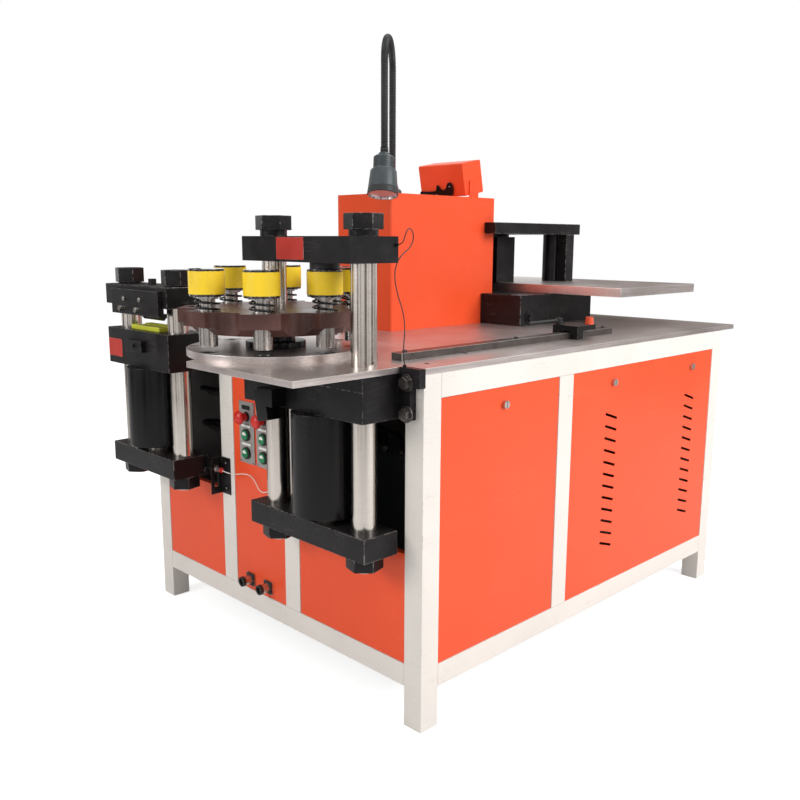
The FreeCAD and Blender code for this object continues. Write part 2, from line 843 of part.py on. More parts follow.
def press_block():
    """The deep press block, and the support plate under the turret plate."""
    x = -size.block_standoff - size.block_width
    top = size.table_z - size.support_height
    deep = box(x, size.block_near_y, top - size.block_height, size.block_width,
               size.block_length, size.block_height)
    plate = box(x, size.block_near_y, top, size.block_width, size.support_length, size.support_height)
    for_block = [hole(press_x, y, top - size.block_height, size.column_radius + size.running_fit,
                      size.block_height) for y in (size.near_column_y, far_column_y)]
    for_plate = [hole(press_x, y, top, size.column_radius + size.running_fit, size.support_height)
                 for y in (size.near_column_y, far_column_y)]
    slug = hole(press_x, work_y, top, size.slug_hole_radius, size.support_height)
    node("press_block", cut(deep, *for_block), cut(plate, *for_plate, slug), slug_chute())


def cylinder(x, y, top_z, length):
    """A hydraulic barrel with a gland at its lower end."""
    z = top_z - length
    outside = rod(x, y, z, size.cylinder_radius, length)
    bore = rod(x, y, z + size.gland_height, size.cylinder_bore_radius,
               length - size.gland_height + size.overrun)
    rod_way = hole(x, y, z, size.ram_radius + size.running_fit, size.gland_height)
    return cut(outside, bore, rod_way)


def ram(label, x, y, block_z, beam_top_z):
    """Piston and rod that pull the lower beam down."""
    piston_z = block_z - size.piston_top_gap - size.piston_height
    piston = rod(x, y, piston_z, size.cylinder_bore_radius - size.running_fit, size.piston_height)
    groove = pipe(x, y, piston_z + size.piston_height / 2, size.cylinder_radius,
                  size.cylinder_bore_radius - size.seal_ring_depth, size.seal_ring_height)
    shaft = rod(x, y, beam_top_z, size.ram_radius, piston_z - beam_top_z)
    node(label, join(cut(piston, groove), shaft))


def nut(x, y, z, radius, height, collar_z, collar_radius, collar_height, column_radius):
    """A hexagon nut with a round collar, open for the column's end."""
    body = hexagon(x, y, z, radius, height, turn=ANGLES["nut_turn"])
    collar = rod(x, y, collar_z, collar_radius, collar_height)
    low = min((z, collar_z), key=number_of)
    return cut(join(body, collar), hole(x, y, low, column_radius, height + collar_height))


def press_moving_frame():
    """Top beam, lower beam, columns, nuts and hammer that the ram pulls down together."""
    ys = (size.near_column_y, far_column_y)
    beam_top = size.top_beam_z + size.beam_height
    top = box(press_x - size.top_beam_width / 2, size.near_column_y - size.beam_end, size.top_beam_z,
              size.top_beam_width, size.top_beam_length, size.beam_height)
    low = box(press_x - size.lower_beam_width / 2, size.near_column_y - size.lower_beam_end,
              size.lower_beam_z, size.lower_beam_width, size.lower_beam_length, size.beam_height)
    top_bores = [hole(press_x, y, size.top_beam_z, size.column_radius, size.beam_height) for y in ys]
    low_bores = [hole(press_x, y, size.lower_beam_z, size.column_radius, size.beam_height) for y in ys]
    clip_x, clip_y, clip_z = BEAM_WIRE[0]
    clip_y = clip_y + size.seat_gap
    clip = rod(clip_x, clip_y, clip_z, size.clip_radius, size.near_column_y - size.beam_end - clip_y, "Y")
    hammer_z = pad_top_z + size.seat_gap
    hammer = rod(press_x, work_y, hammer_z, size.hammer_radius, size.top_beam_z - hammer_z)
    node("press_beams", cut(join(top, clip), *top_bores), cut(low, *low_bores), hammer)
    start = size.lower_beam_z - size.nut_height - size.column_tip
    end = beam_top + size.collar_height + size.nut_height - size.column_tip
    columns = [rod(press_x, y, start, size.column_radius, end - start) for y in ys]
    nuts = []
    for y in ys:
        nuts.append(nut(press_x, y, beam_top + size.collar_height, size.nut_radius, size.nut_height,
                        beam_top, size.collar_radius, size.collar_height, size.column_radius))
        nuts.append(nut(press_x, y, size.lower_beam_z - size.nut_height, size.nut_radius,
                        size.nut_height, size.lower_beam_z - size.column_tip, size.collar_radius,
                        size.column_tip, size.column_radius))
    node("press_columns", *columns, *nuts)


def slug_chute():
    """A folded duct on the press block that turns down in front of the far column."""
    x = -size.block_standoff - size.block_width - size.chute_out
    y = size.chute_near_y
    z = size.chute_top_z - size.chute_height
    wall = size.chute_wall
    drop_y = y + size.chute_length - wall
    slope = FreeCAD.Rotation(FreeCAD.Vector(1, 0, 0), -ANGLES["chute_slope"])
    entry = box(x, y, z, size.chute_out, size.chute_length, size.chute_height)
    leg_y = y + size.chute_length - size.chute_height
    leg = box(x, leg_y, size.chute_top_z - size.chute_drop, size.chute_out,
              size.chute_height, size.chute_drop, slope)
    hollow = box(x + wall, y + wall, z + wall, size.chute_out - wall + size.overrun,
                 size.chute_length - wall * 2, size.chute_height - wall * 2)
    way = box(x + wall, leg_y + wall, size.chute_top_z - size.chute_drop - size.overrun,
              size.chute_out - wall * 2, size.chute_height - wall * 2,
              size.chute_drop - wall + size.overrun - wall, slope)
    return cut(join(entry, leg), hollow, way)


def scallops():
    """Vertical cutters between the stations."""
    step = 360 / COUNTS["stations"]
    cutters = []
    for index in range(COUNTS["stations"]):
        angle = math.radians(step * (index + 0.5))
        cutters.append(hole(press_x + size.scallop_centre * math.cos(angle),
                            far_column_y + size.scallop_centre * math.sin(angle),
                            size.disc_z - size.disc_boss_height, size.scallop_radius,
                            size.disc_height + size.disc_boss_height))
    return cutters


def station(index_angle):
    angle = math.radians(index_angle)
    return (press_x + size.station_radius * math.cos(angle),
            far_column_y + size.station_radius * math.sin(angle))


def turret():
    """Die disc, hub and upper disc, which turn together around the far column."""
    step = 360 / COUNTS["stations"]
    angles = [step * index for index in range(COUNTS["stations"])]
    bore_radius = size.column_radius + size.running_fit
    die_disc = rod(press_x, far_column_y, table_top_z, size.die_disc_radius, size.die_disc_height)
    sockets = [hole(*station(angle), table_top_z, size.die_radius, size.die_disc_height)
               for angle in angles]
    die_bore = hole(press_x, far_column_y, table_top_z, bore_radius, size.die_disc_height)
    dies = []
    for angle, share in zip(ANGLES["punch_stations"], die_bore_shares):
        dies.append(pipe(*station(angle), table_top_z, size.die_radius, size.die_radius * share,
                         size.die_disc_height))
    boss_z = size.disc_z - size.disc_boss_height
    hub = join(rod(press_x, far_column_y, die_top_z, size.hub_radius, boss_z - die_top_z),
               rod(press_x, far_column_y, die_top_z, size.skirt_radius, size.skirt_height))
    hub = cut(hub, hole(press_x, far_column_y, die_top_z, bore_radius, boss_z - die_top_z))
    node("turret_die_disc", cut(die_disc, *sockets, die_bore), hub)
    arms = doc.addObject("Part::Prism", "Arms")
    arms.Polygon = COUNTS["stations"]
    bind(arms, Circumradius=size.disc_corner_radius, Height=size.disc_height)
    place(arms, press_x, far_column_y, size.disc_z,
          FreeCAD.Rotation(FreeCAD.Vector(0, 0, 1), step / 2))
    boss = taper(press_x, far_column_y, boss_z, size.disc_boss_radius - size.disc_chamfer,
                 size.disc_boss_radius, size.disc_boss_height)
    seats = [hole(*station(angle), boss_z, size.guide_radius, disc_top_z - boss_z)
             for angle in angles]
    bore = hole(press_x, far_column_y, boss_z, bore_radius, size.disc_height + size.disc_boss_height)
    node("turret_disc", cut(join(arms, boss), *scallops(), *seats, bore))
    guides = []
    for angle in angles:
        x, y = station(angle)
        if angle in ANGLES["punch_stations"]:
            guides.append(pipe(x, y, size.guide_z, size.guide_radius,
                               size.shank_radius + size.running_fit,
                               disc_top_z + size.guide_rise - size.guide_z))
    node("turret_bushes", *guides, *dies)


def punch(number, angle, bore_share):
    """Tip, shank, neck and spring seat of steel under a round pad between two thin discs."""
    x, y = station(angle)
    tip_radius = size.die_radius * bore_share * punch_tip_share
    shank_z = size.guide_z + size.press_stroke
    shank = rod(x, y, shank_z, size.shank_radius, neck_top_z - shank_z)
    tip = rod(x, y, size.guide_z + size.shank_gap, tip_radius, shank_z - size.guide_z - size.shank_gap)
    neck = rod(x, y, neck_top_z - size.neck_height, size.neck_radius, size.neck_height)
    seat = rod(x, y, neck_top_z - size.spring_seat_height, size.spring_seat_radius,
               size.spring_seat_height)
    core = rod(x, y, neck_top_z, size.pad_bore_radius, size.pad_height + size.pad_disc_height)
    lower = pipe(x, y, neck_top_z, size.pad_disc_radius, size.pad_bore_radius, size.pad_disc_height)
    pad = pipe(x, y, size.pad_z, size.pad_radius, size.pad_bore_radius,
               size.pad_height - size.pad_disc_height)
    upper = pipe(x, y, pad_top_z - size.pad_disc_height, size.pad_disc_radius, size.pad_bore_radius,
                 size.pad_disc_height)
    node(f"punch_{number}", join(shank, tip, neck, seat, core), lower, pad, upper)


def spring_solid(x, y):
    """One unbroken helical wire between the disc and the spring seat, with straight ends."""
    wire = SIZES["spring_wire"]
    radius = SIZES["spring_radius"]
    low = number_of(disc_top_z) + wire / 2 + SIZES["spring_end_gap"]
    high = number_of(neck_top_z) - SIZES["spring_seat_height"] - wire / 2 - SIZES["spring_end_gap"]
    turns = COUNTS["spring_turns"]
    rise = (high - low) / turns
    quarters = turns * 4

    def point(quarter):
        angle = quarter * math.pi / 2
        return FreeCAD.Vector(radius * math.cos(angle), radius * math.sin(angle),
                              low + rise * quarter / 4)

    def tangent(quarter):
        angle = quarter * math.pi / 2
        direction = FreeCAD.Vector(-radius * math.sin(angle), radius * math.cos(angle),
                                   rise / (2 * math.pi))
        return direction.normalize()

    edges = [Part.makeLine(point(0) - tangent(0) * wire, point(0))]
    for quarter in range(quarters):
        edges += biarc(point(quarter), tangent(quarter), point(quarter + 1), tangent(quarter + 1))
    edges.append(Part.makeLine(point(quarters), point(quarters) + tangent(quarters) * wire))
    path = Part.Wire(edges)
    start = path.Edges[0].valueAt(path.Edges[0].FirstParameter)
    section = Part.Wire([Part.makeCircle(wire / 2, start, tangent(0))])
    solid = path.makePipeShell([section], True, False)
    solid.translate(FreeCAD.Vector(number_of(x), number_of(y), 0))
    return solid, path, rise - wire


def biarc(start, start_tangent, end, end_tangent):
    """Two arcs that leave start and reach end along the given directions."""
    chord = end - start
    total = start_tangent + end_tangent
    a = 2 * (1 - start_tangent.dot(end_tangent))
    b = 2 * chord.dot(total)
    c = -chord.dot(chord)
    reach = (-b + math.sqrt(b * b - 4 * a * c)) / (2 * a)
    joint = (start + start_tangent * reach + end - end_tangent * reach) * 0.5
    edges = []
    for first, direction, last in ((start, start_tangent, joint), (joint, None, end)):
        if direction is None:
            direction = (end - end_tangent * reach - start - start_tangent * reach).normalize()
        middle = arc_middle(first, direction, last)
        edges.append(Part.Arc(first, middle, last).toShape())
    return edges


def arc_middle(first, direction, last):
    """The point half way along the arc that leaves first along direction and ends at last."""
    chord = last - first
    length = chord.Length
    along = chord * (1 / length)
    cosine = along.dot(direction)
    side = (direction - along * cosine)
    sine = side.Length
    side = side.normalize()
    half_turn = math.atan2(sine, cosine)
    return first + chord * 0.5 + side * (length / 2 * math.tan(half_turn / 2))


def springs():
    """One return spring round each punch."""
    wire = SIZES["spring_wire"]
    for number, angle in enumerate(ANGLES["punch_stations"], start=1):
        solid, path, gap = spring_solid(*station(angle))
        spring = doc.addObject("Part::Feature", f"Spring{number}")
        spring.Shape = solid
        expected = math.pi * wire * wire / 4 * path.Length
        print(f"spring {number}: least gap {gap:.2f} mm, volume share {solid.Volume / expected:.4f}")
        node(f"punch_spring_{number}", spring)


def forming_press():
    """Block, cylinder and moving frame of the forming press."""
    ys = (forming_near_y, forming_far_y)
    x = -size.block_standoff - size.forming_block_width
    block = box(x, forming_block_near_y, size.forming_block_z, size.forming_block_width,
                size.forming_block_length, size.forming_block_height)
    node("forming_block", cut(block, *[hole(forming_x, y, size.forming_block_z,
                                            size.column_radius + size.running_fit,
                                            size.forming_block_height) for y in ys]))
    beam_x = forming_x - size.forming_beam_width / 2
    beams = []
    for z in (size.forming_top_z, size.forming_lower_z):
        beam = box(beam_x, forming_beam_near_y, z, size.forming_beam_width,
                   size.forming_beam_length, size.forming_beam_height)
        bores = [hole(forming_x, y, z, size.column_radius, size.forming_beam_height) for y in ys]
        beams.append(cut(beam, *bores))
    node("forming_beams", *beams)
    start = size.forming_lower_z - size.nut_height - size.column_tip
    beam_top = size.forming_top_z + size.forming_beam_height
    end = beam_top + size.forming_nut_height - size.column_tip
    pieces = [rod(forming_x, y, start, size.column_radius, end - start) for y in ys]
    for y in ys:
        pieces.append(nut(forming_x, y, beam_top + size.column_tip, size.forming_nut_radius,
                          size.forming_nut_height - size.column_tip, beam_top, size.collar_radius,
                          size.column_tip, size.column_radius))
        pieces.append(nut(forming_x, y, size.forming_lower_z - size.nut_height, size.nut_radius,
                          size.nut_height, size.forming_lower_z - size.column_tip,
                          size.collar_radius, size.column_tip, size.column_radius))
    knob = rod(forming_x, forming_mid_y, beam_top, size.lifting_knob_radius, size.lifting_knob_height)
    target_z = size.forming_lower_z + size.forming_beam_height * target_bolt_share
    target = hexagon(beam_x + size.target_bolt_inset, forming_beam_near_y - size.target_bolt_head, target_z,
                     size.target_bolt_radius, size.target_bolt_head, "Y")
    node("forming_columns", *pieces, knob, target)
    ram("forming_ram", forming_x, forming_mid_y, size.forming_block_z,
        size.forming_lower_z + size.forming_beam_height)


def forming_tools():
    """Front plate with its screws and knobs, the blade, and the grooved die under it."""
    face_x = forming_x - size.forming_beam_width / 2
    plate_x = face_x - size.tool_block_thickness
    front = box(plate_x, tool_block_near_y, size.tool_block_z, size.tool_block_thickness,
                size.tool_block_length, size.tool_block_height)
    low = size.forming_top_z - size.tool_block_z
    holder = box(face_x, tool_near_y, size.tool_block_z, size.forming_beam_width / 2,
                 size.tool_length, low)
    pieces = [front, holder]
    screw_y = tool_block_near_y + size.tool_block_length * tool_screw_first_share
    for y in (screw_y, screw_y + size.tool_block_length * tool_screw_step_share):
        pieces.append(hexagon(plate_x - size.tool_screw_head, y,
                              size.tool_block_z + size.tool_block_height * tool_screw_high_share,
                              size.tool_screw_radius, size.tool_screw_head, "X"))
        pieces.append(rod(plate_x - size.tool_knob_length, y,
                          size.tool_block_z + size.tool_block_height * tool_screw_low_share,
                          size.tool_knob_radius, size.tool_knob_length, "X"))
    blade_x = forming_x - size.tool_width / 2
    shoulder = box(blade_x, tool_near_y, size.tool_tip_z + size.tool_width / 2,
                   size.tool_width, size.tool_length,
                   size.tool_block_z - size.tool_tip_z - size.tool_width / 2)
    edge = doc.addObject("Part::Wedge", "Edge")
    half = size.tool_width / 2
    bind(edge, Xmin=0, Xmax=size.tool_width, Ymin=0, Ymax=half, Zmin=0, Zmax=size.tool_length,
         X2min=half, X2max=half, Z2min=0, Z2max=size.tool_length)
    place(edge, blade_x, tool_near_y, size.tool_tip_z + half,
          FreeCAD.Rotation(FreeCAD.Vector(1, 0, 0), -90))
    node("forming_tool", *pieces, join(shoulder, edge))
    block_top = size.forming_block_z + size.forming_block_height
    strip = box(forming_x - size.die_strip_width / 2, die_strip_near_y, block_top,
                size.die_strip_width, size.die_strip_length, size.die_strip_height)
    turn = FreeCAD.Rotation(FreeCAD.Vector(0, 1, 0), 45)
    groove = box(forming_x - size.die_groove_width * math.sqrt(0.5),
                 die_strip_near_y - size.overrun, block_top + size.die_strip_height,
                 size.die_groove_width, size.die_strip_length + size.overrun * 2,
                 size.die_groove_width, turn)
    block_x = -size.block_standoff - size.forming_block_width
    stop_z = block_top - size.side_stop_drop
    plate = box(block_x - size.side_stop_out, side_stop_near_y, stop_z, size.side_stop_out,
                size.side_stop_length, size.side_stop_height)
    screw = hexagon(block_x - size.side_stop_out - size.tool_screw_head,
                    side_stop_near_y + size.side_stop_length / 2,
                    stop_z + size.side_stop_height / 2, size.tool_screw_radius,
                    size.tool_screw_head, "X")
    node("forming_die", cut(strip, groove), plate, screw)


def operator_station():
    """Two grey plates with an emergency stop and two green buttons each, and two connectors."""
    face = size.panel_recess
    plate_x = face - size.plate_thickness
    plates = []
    for y in plate_middles():
        plate = box(plate_x, y - size.plate_width / 2, size.plate_low_z, size.plate_thickness,
                    size.plate_width, size.plate_height)
        bores = []
        rises = (size.stop_button_rise, size.green_high_rise, size.green_low_rise)
        for rise in rises:
            bores.append(hole(plate_x, y, size.plate_low_z + rise, size.switch_body_radius,
                              size.plate_thickness, "X"))
        plates.append(cut(plate, *bores))
        for rise in rises:
            z = size.plate_low_z + rise
            body = pipe(plate_x, y, z, size.switch_body_radius, size.stem_radius + size.running_fit,
                        size.switch_body_length, "X")
            if rise is rises[0]:
                plates.append(body)
                continue
            bezel = pipe(plate_x - size.bezel_height, y, z, size.bezel_radius,
                         size.green_radius + size.running_fit, size.bezel_height, "X")
            plates.append(join(body, bezel))
    number = 0
    for index, y in enumerate(plate_middles(), start=1):
        z = size.plate_low_z + size.stop_button_rise
        start = plate_x - size.stop_travel
        neck = rod(start - size.stop_neck_height, y, z, size.stop_neck_radius,
                   size.stop_neck_height, "X")
        head = taper(start - size.stop_neck_height - size.stop_head_height, y, z,
                     size.stop_head_radius * knob_top_share, size.stop_head_radius,
                     size.stop_head_height, "X")
        stem = rod(start, y, z, size.stem_radius, size.stem_length, "X")
        node(f"emergency_stop_{index}", join(neck, head, stem))
        for rise in (size.green_high_rise, size.green_low_rise):
            number += 1
            z = size.plate_low_z + rise
            cap_x = plate_x - size.green_height - size.green_travel
            cap = rod(cap_x, y, z, size.green_radius, size.green_height, "X")
            stem = rod(cap_x + size.green_height, y, z, size.stem_radius, size.stem_length, "X")
            node(f"green_button_{number}", join(cap, stem))
    connectors = []
    for y in (size.connector_near_y, size.connector_far_y):
        flange = box(face - size.connector_flange_thickness, y - size.connector_flange / 2,
                     size.connector_z - size.connector_flange / 2,
                     size.connector_flange_thickness, size.connector_flange, size.connector_flange)
        shell = rod(face - size.connector_flange_thickness - size.connector_length, y,
                    size.connector_z, size.connector_radius, size.connector_length, "X")
        bore = rod(face - size.connector_flange_thickness - size.connector_length - size.overrun, y,
                   size.connector_z, size.connector_bore_radius,
                   size.connector_length / 2 + size.overrun, "X")
        connectors.append(cut(join(flange, shell), bore))
    gland_x, gland_y, gland_z = SENSOR_WIRE[-1]
    gland_size = size.gland_block
    gland = box(face - gland_size, gland_y - gland_size, gland_z - gland_size / 2, gland_size, gland_size,
                gland_size)
    node("operator_plates", *plates, *connectors, gland)


def limit_switch():
    """A slotted angle on the far post that holds a round sensor facing the lower beam's bolt."""
    thick = size.angle_thickness
    flat = box(-thick, size.angle_y, size.angle_z, thick, size.angle_leg, size.angle_height)
    wing = box(-size.angle_flange, size.angle_y + size.angle_leg - thick, size.angle_z,
               size.angle_flange, thick, size.angle_height)
    sensor_x = -size.angle_flange / 2 - thick / 2
    sensor_z = size.angle_z + size.sensor_rise
    slot = box(sensor_x - size.slot_width / 2, size.angle_y + size.angle_leg - thick - size.overrun,
               size.angle_z + (size.angle_height - size.slot_length) / 2, size.slot_width,
               thick + size.overrun * 2, size.slot_length)
    holes = []
    for share in angle_hole_shares:
        holes.append(hole(-thick, size.angle_y + size.angle_leg / 2,
                          size.angle_z + size.angle_height * share, size.angle_hole_radius, thick, "X"))
    wing_y = size.angle_y + size.angle_leg
    start = wing_y - thick / 2 - size.sensor_length / 2
    body = rod(sensor_x, start, sensor_z, size.sensor_radius, size.sensor_length, "Y")
    nuts = [hexagon(sensor_x, y, sensor_z, size.sensor_nut_radius, size.sensor_nut_height, "Y")
            for y in (wing_y - thick - size.sensor_nut_height, wing_y)]
    node("limit_switch", cut(join(flat, wing), slot, *holes), join(body, *nuts))


def control_tower():
    """The orange tower: a folded cover, closed on top, that stands on the table."""
    wall = size.tower_sheet
    outside = rounded(box(size.tower_x, size.tower_y, table_top_z, size.tower_width,
                          size.tower_depth, size.tower_height), size.tower_rounding,
                      FreeCAD.Vector(0, 0, 1))
    inside = box(size.tower_x + wall, size.tower_y + wall, table_top_z - size.overrun,
                 size.tower_width - wall * 2, size.tower_depth - wall * 2,
                 size.tower_height + size.overrun - wall)
    way = hole(size.tower_x + size.tower_width - wall, bend_axis_y(), bend_axis_z(),
               size.bend_cylinder_radius, wall, "X")
    node("tower_cover", cut(outside, inside, way), box_bracket())


def bend_axis_y():
    return size.bend_ram_y + size.bend_ram_depth / 2


def bend_axis_z():
    return bend_plate_top_z + size.bend_ram_height / 2


def lamp():
    """A work lamp on a bent neck: base, neck, and a head with its lens."""
    x = size.lamp_base_x
    y = size.lamp_base_y
    casting_height = size.lamp_base_height * lamp_casting_share
    base = rod(x, y, tower_top_z, size.lamp_base_radius, casting_height)
    cap = taper(x, y, tower_top_z + casting_height, size.lamp_base_radius * lamp_cap_share,
                size.neck_tube_radius * neck_socket_share, size.lamp_base_height - casting_height)
    neck_z = tower_top_z + size.lamp_base_height
    rise = rod(x, y, neck_z, size.neck_tube_radius, size.lamp_bend_z - neck_z)
    heading = ANGLES["lamp_turn"]
    head_x = x - size.lamp_span * math.cos(math.radians(heading))
    head_y = y - size.lamp_span * math.sin(math.radians(heading))
    collar_top = size.lamp_collar_z + size.lamp_collar_height
    knuckle_z = collar_top + size.lamp_stem_height
    fall_z = knuckle_z + size.lamp_knuckle_radius + size.seat_gap
    fall = rod(head_x, head_y, fall_z, size.neck_tube_radius, size.lamp_bend_z - fall_z)
    bend = doc.addObject("Part::Torus", "Bend")
    bend.Angle3 = 180
    bind(bend, Radius1=size.lamp_span / 2, Radius2=size.neck_tube_radius)
    upright = FreeCAD.Rotation(FreeCAD.Vector(1, 0, 0), 90)
    turn = FreeCAD.Rotation(FreeCAD.Vector(0, 0, 1), heading).multiply(upright)
    place(bend, (x + head_x) / 2, (y + head_y) / 2, size.lamp_bend_z, turn)
    node("lamp_neck", join(base, cap), join(rise, bend, fall))
    knuckle = rod(0, -size.lamp_knuckle_radius, 0, size.lamp_knuckle_radius,
                  size.lamp_knuckle_radius * 2, "Y")
    stem = rod(0, 0, -size.lamp_stem_height, size.lamp_stem_radius, size.lamp_stem_height)
    collar_z = -size.lamp_stem_height - size.lamp_collar_height
    collar = rod(0, 0, collar_z, size.lamp_collar_radius, size.lamp_collar_height)
    body_z = collar_z - size.lamp_body_height
    body = rod(0, 0, body_z, size.lamp_body_radius, size.lamp_body_height)
    shade_z = body_z - size.lamp_shade_height
    shade = taper(0, 0, shade_z, size.lamp_shade_radius, size.lamp_shade_top_radius,
                  size.lamp_shade_height)
    mouth = shade_filling(shade_z, 0, mouth_share)
    lens = shade_filling(shade_z, *lens_shares)
    head = doc.addObject("Part::Compound", "Head")
    head.Links = [cut(join(knuckle, stem, collar, body, shade), mouth), lens]
    lean = FreeCAD.Rotation(FreeCAD.Vector(0, 1, 0), ANGLES["lamp_lean"])
    towards_base = FreeCAD.Rotation(FreeCAD.Vector(0, 0, 1), heading)
    place(head, head_x, head_y, knuckle_z, towards_base.multiply(lean))
    node("lamp_head", head)


def shade_filling(shade_z, low_share, high_share):
    """What fills the shade inside its wall, between two shares of its height."""
    narrowing = size.lamp_shade_radius - size.lamp_shade_top_radius
    mouth_radius = size.lamp_shade_radius - size.lamp_shade_wall
    return taper(0, 0, shade_z + size.lamp_shade_height * low_share,
                 mouth_radius - narrowing * low_share, mouth_radius - narrowing * high_share,
                 size.lamp_shade_height * (high_share - low_share))


def box_pivot():
    """The tilt axis of the control box, over the tower's top."""
    return size.box_x + size.box_width / 2, tower_top_z + size.box_gap + size.box_pivot_rise


def ear_places():
    thick = size.ear_thickness
    return (size.box_y - thick - size.seat_gap, size.box_y + size.box_depth + size.seat_gap)


def box_bracket():
    """Two ears on a foot that carry the control box."""
    pivot_x, pivot_z = box_pivot()
    near_y, far_y = ear_places()
    foot = box(pivot_x - size.ear_width / 2, near_y, tower_top_z, size.ear_width,
               far_y + size.ear_thickness - near_y, size.ear_thickness)
    ears = []
    for y in (near_y, far_y):
        ear = box(pivot_x - size.ear_width / 2, y, tower_top_z, size.ear_width, size.ear_thickness,
                  pivot_z + size.ear_width / 4 - tower_top_z)
        ears.append(cut(ear, hole(pivot_x, y, pivot_z, size.box_pin_radius + size.running_fit,
                                  size.ear_thickness, "Y")))
    return join(foot, *ears)


def control_box():
    """The control box, leaning back on two ears, with a recessed screen on its +X face."""
    pivot_x, pivot_z = box_pivot()
    turn = FreeCAD.Rotation(FreeCAD.Vector(0, 1, 0), ANGLES["box_tilt"])
    corner = turn.multVec(FreeCAD.Vector(-1, 0, 0))
    upward = turn.multVec(FreeCAD.Vector(0, 0, -1))
    half = size.box_width / 2
    drop = size.box_pivot_rise
    start_x = pivot_x + half * corner.x + drop * upward.x
    start_z = pivot_z + half * corner.z + drop * upward.z
    case = rounded(box(start_x, size.box_y, start_z, size.box_width, size.box_depth,
                       size.box_height, turn), size.box_rounding, FreeCAD.Vector(0, 1, 0))
    across = turn.multVec(FreeCAD.Vector(1, 0, 0))
    along = turn.multVec(FreeCAD.Vector(0, 0, 1))
    wall = size.box_wall
    inside = box(start_x + wall * (across.x + along.x), size.box_y + wall,
                 start_z + wall * (across.z + along.z), size.box_width - wall * 2,
                 size.box_depth - wall * 2, size.box_height - wall * 2, turn)
    inset = size.screen_inset
    reach = size.box_width - size.screen_depth
    recess = box(start_x + reach * across.x + inset * along.x, size.box_y + inset,
                 start_z + reach * across.z + inset * along.z, size.overrun,
                 size.box_depth - inset * 2, size.box_height - inset * 2, turn)
    pin_length = size.ear_thickness + size.seat_gap
    pins = [rod(pivot_x, y, pivot_z, size.box_pin_radius, pin_length, "Y")
            for y in (size.box_y - pin_length, size.box_y + size.box_depth)]
    node("control_box", join(cut(case, recess, inside), *pins))


def bending_unit():
    """Base, plate, head with its columns, cylinder and the sliding ram of the bending unit."""
    base = box(size.bend_base_x, size.bend_base_y, table_top_z, size.bend_base_width,
               size.bend_base_depth, size.bend_base_height)
    toe = box(size.bend_base_x - size.bend_toe_width, size.bend_base_y, table_top_z,
              size.bend_toe_width, size.bend_toe_depth, size.bend_base_height)
    foot_x = size.bend_base_x - size.bend_foot_radius
    foot_y = size.bend_base_y - size.plate_washer_thickness
    foot_z = table_top_z + size.bend_foot_radius * bend_foot_share
    washer = rod(foot_x, foot_y, foot_z, size.bend_foot_radius, size.plate_washer_thickness, "Y")
    head = hexagon(foot_x, foot_y - size.plate_bolt_head, foot_z, size.plate_bolt_radius,
                   size.plate_bolt_head, "Y")
    plate = box(size.bend_plate_x, size.bend_plate_y, bend_base_top_z, size.bend_plate_width,
                size.bend_plate_depth, size.bend_plate_thickness)
    node("bending_base", join(base, toe), join(washer, head), plate)
    top = box(size.bend_base_x, size.bend_head_y, size.bend_head_z,
              size.bend_head_far_x - size.bend_base_x, size.bend_head_depth, size.bend_head_height)
    top_toe = box(size.bend_base_x - size.bend_head_toe, size.bend_head_y, size.bend_head_z,
                  size.bend_head_toe, size.bend_head_toe_depth, size.bend_head_height)
    rise = size.bend_head_z - bend_plate_top_z
    posts = []
    for index in range(2):
        posts.append(rod(size.bend_post_x, size.bend_post_y + size.bend_post_spacing * index,
                         bend_plate_top_z, size.bend_post_radius, rise))
    leg = box(size.bend_leg_x, size.bend_head_y, bend_plate_top_z, size.bend_leg_width,
              size.bend_leg_depth, rise)
    node("bending_head", join(top, top_toe), *posts, leg)
    flange_rise = size.bend_head_z - bend_base_top_z
    flange = box(size.bend_base_x + size.seat_gap, size.bend_ram_y, bend_base_top_z,
                 size.bend_flange_width, size.bend_ram_depth, flange_rise)
    y = bend_axis_y()
    z = bend_axis_z()
    flange_end = size.bend_base_x + size.seat_gap + size.bend_flange_width
    start = size.bend_base_x - size.bend_cylinder_length
    barrel = rod(start, y, z, size.bend_cylinder_radius, size.bend_base_x + size.seat_gap - start, "X")
    bore = rod(start + size.gland_height, y, z, size.bend_cylinder_bore_radius,
               size.bend_base_x - start - size.gland_height * bend_bore_end_share, "X")
    way = rod(size.bend_base_x - size.gland_height, y, z, size.bend_rod_radius + size.running_fit,
              size.bend_flange_width + size.gland_height + size.overrun * 2, "X")
    press_barrel = cylinder(press_x, work_y, press_block_z, size.cylinder_length)
    forming_barrel = cylinder(forming_x, forming_mid_y, size.forming_block_z,
                              size.forming_cylinder_length)
    node("hydraulic_cylinders", press_barrel, forming_barrel, cut(join(barrel, flange), bore, way))
    piston_x = start + size.gland_height + size.seal_ring_height
    piston = rod(piston_x, y, z, size.bend_cylinder_bore_radius - size.running_fit,
                 size.gland_height, "X")
    shaft = rod(piston_x + size.gland_height, y, z, size.bend_rod_radius,
                size.bend_ram_x - piston_x - size.gland_height, "X")
    block = box(size.bend_ram_x, size.bend_ram_y, bend_plate_top_z + size.seat_gap,
                size.bend_ram_width - size.bend_nose_radius, size.bend_ram_depth,
                size.bend_ram_height - size.seat_gap)
    nose = rod(size.bend_ram_x + size.bend_ram_width - size.bend_nose_radius, y,
               bend_plate_top_z + size.seat_gap, size.bend_nose_radius,
               size.bend_ram_height - size.seat_gap)
    node("bending_ram", join(piston, shaft, block, nose))


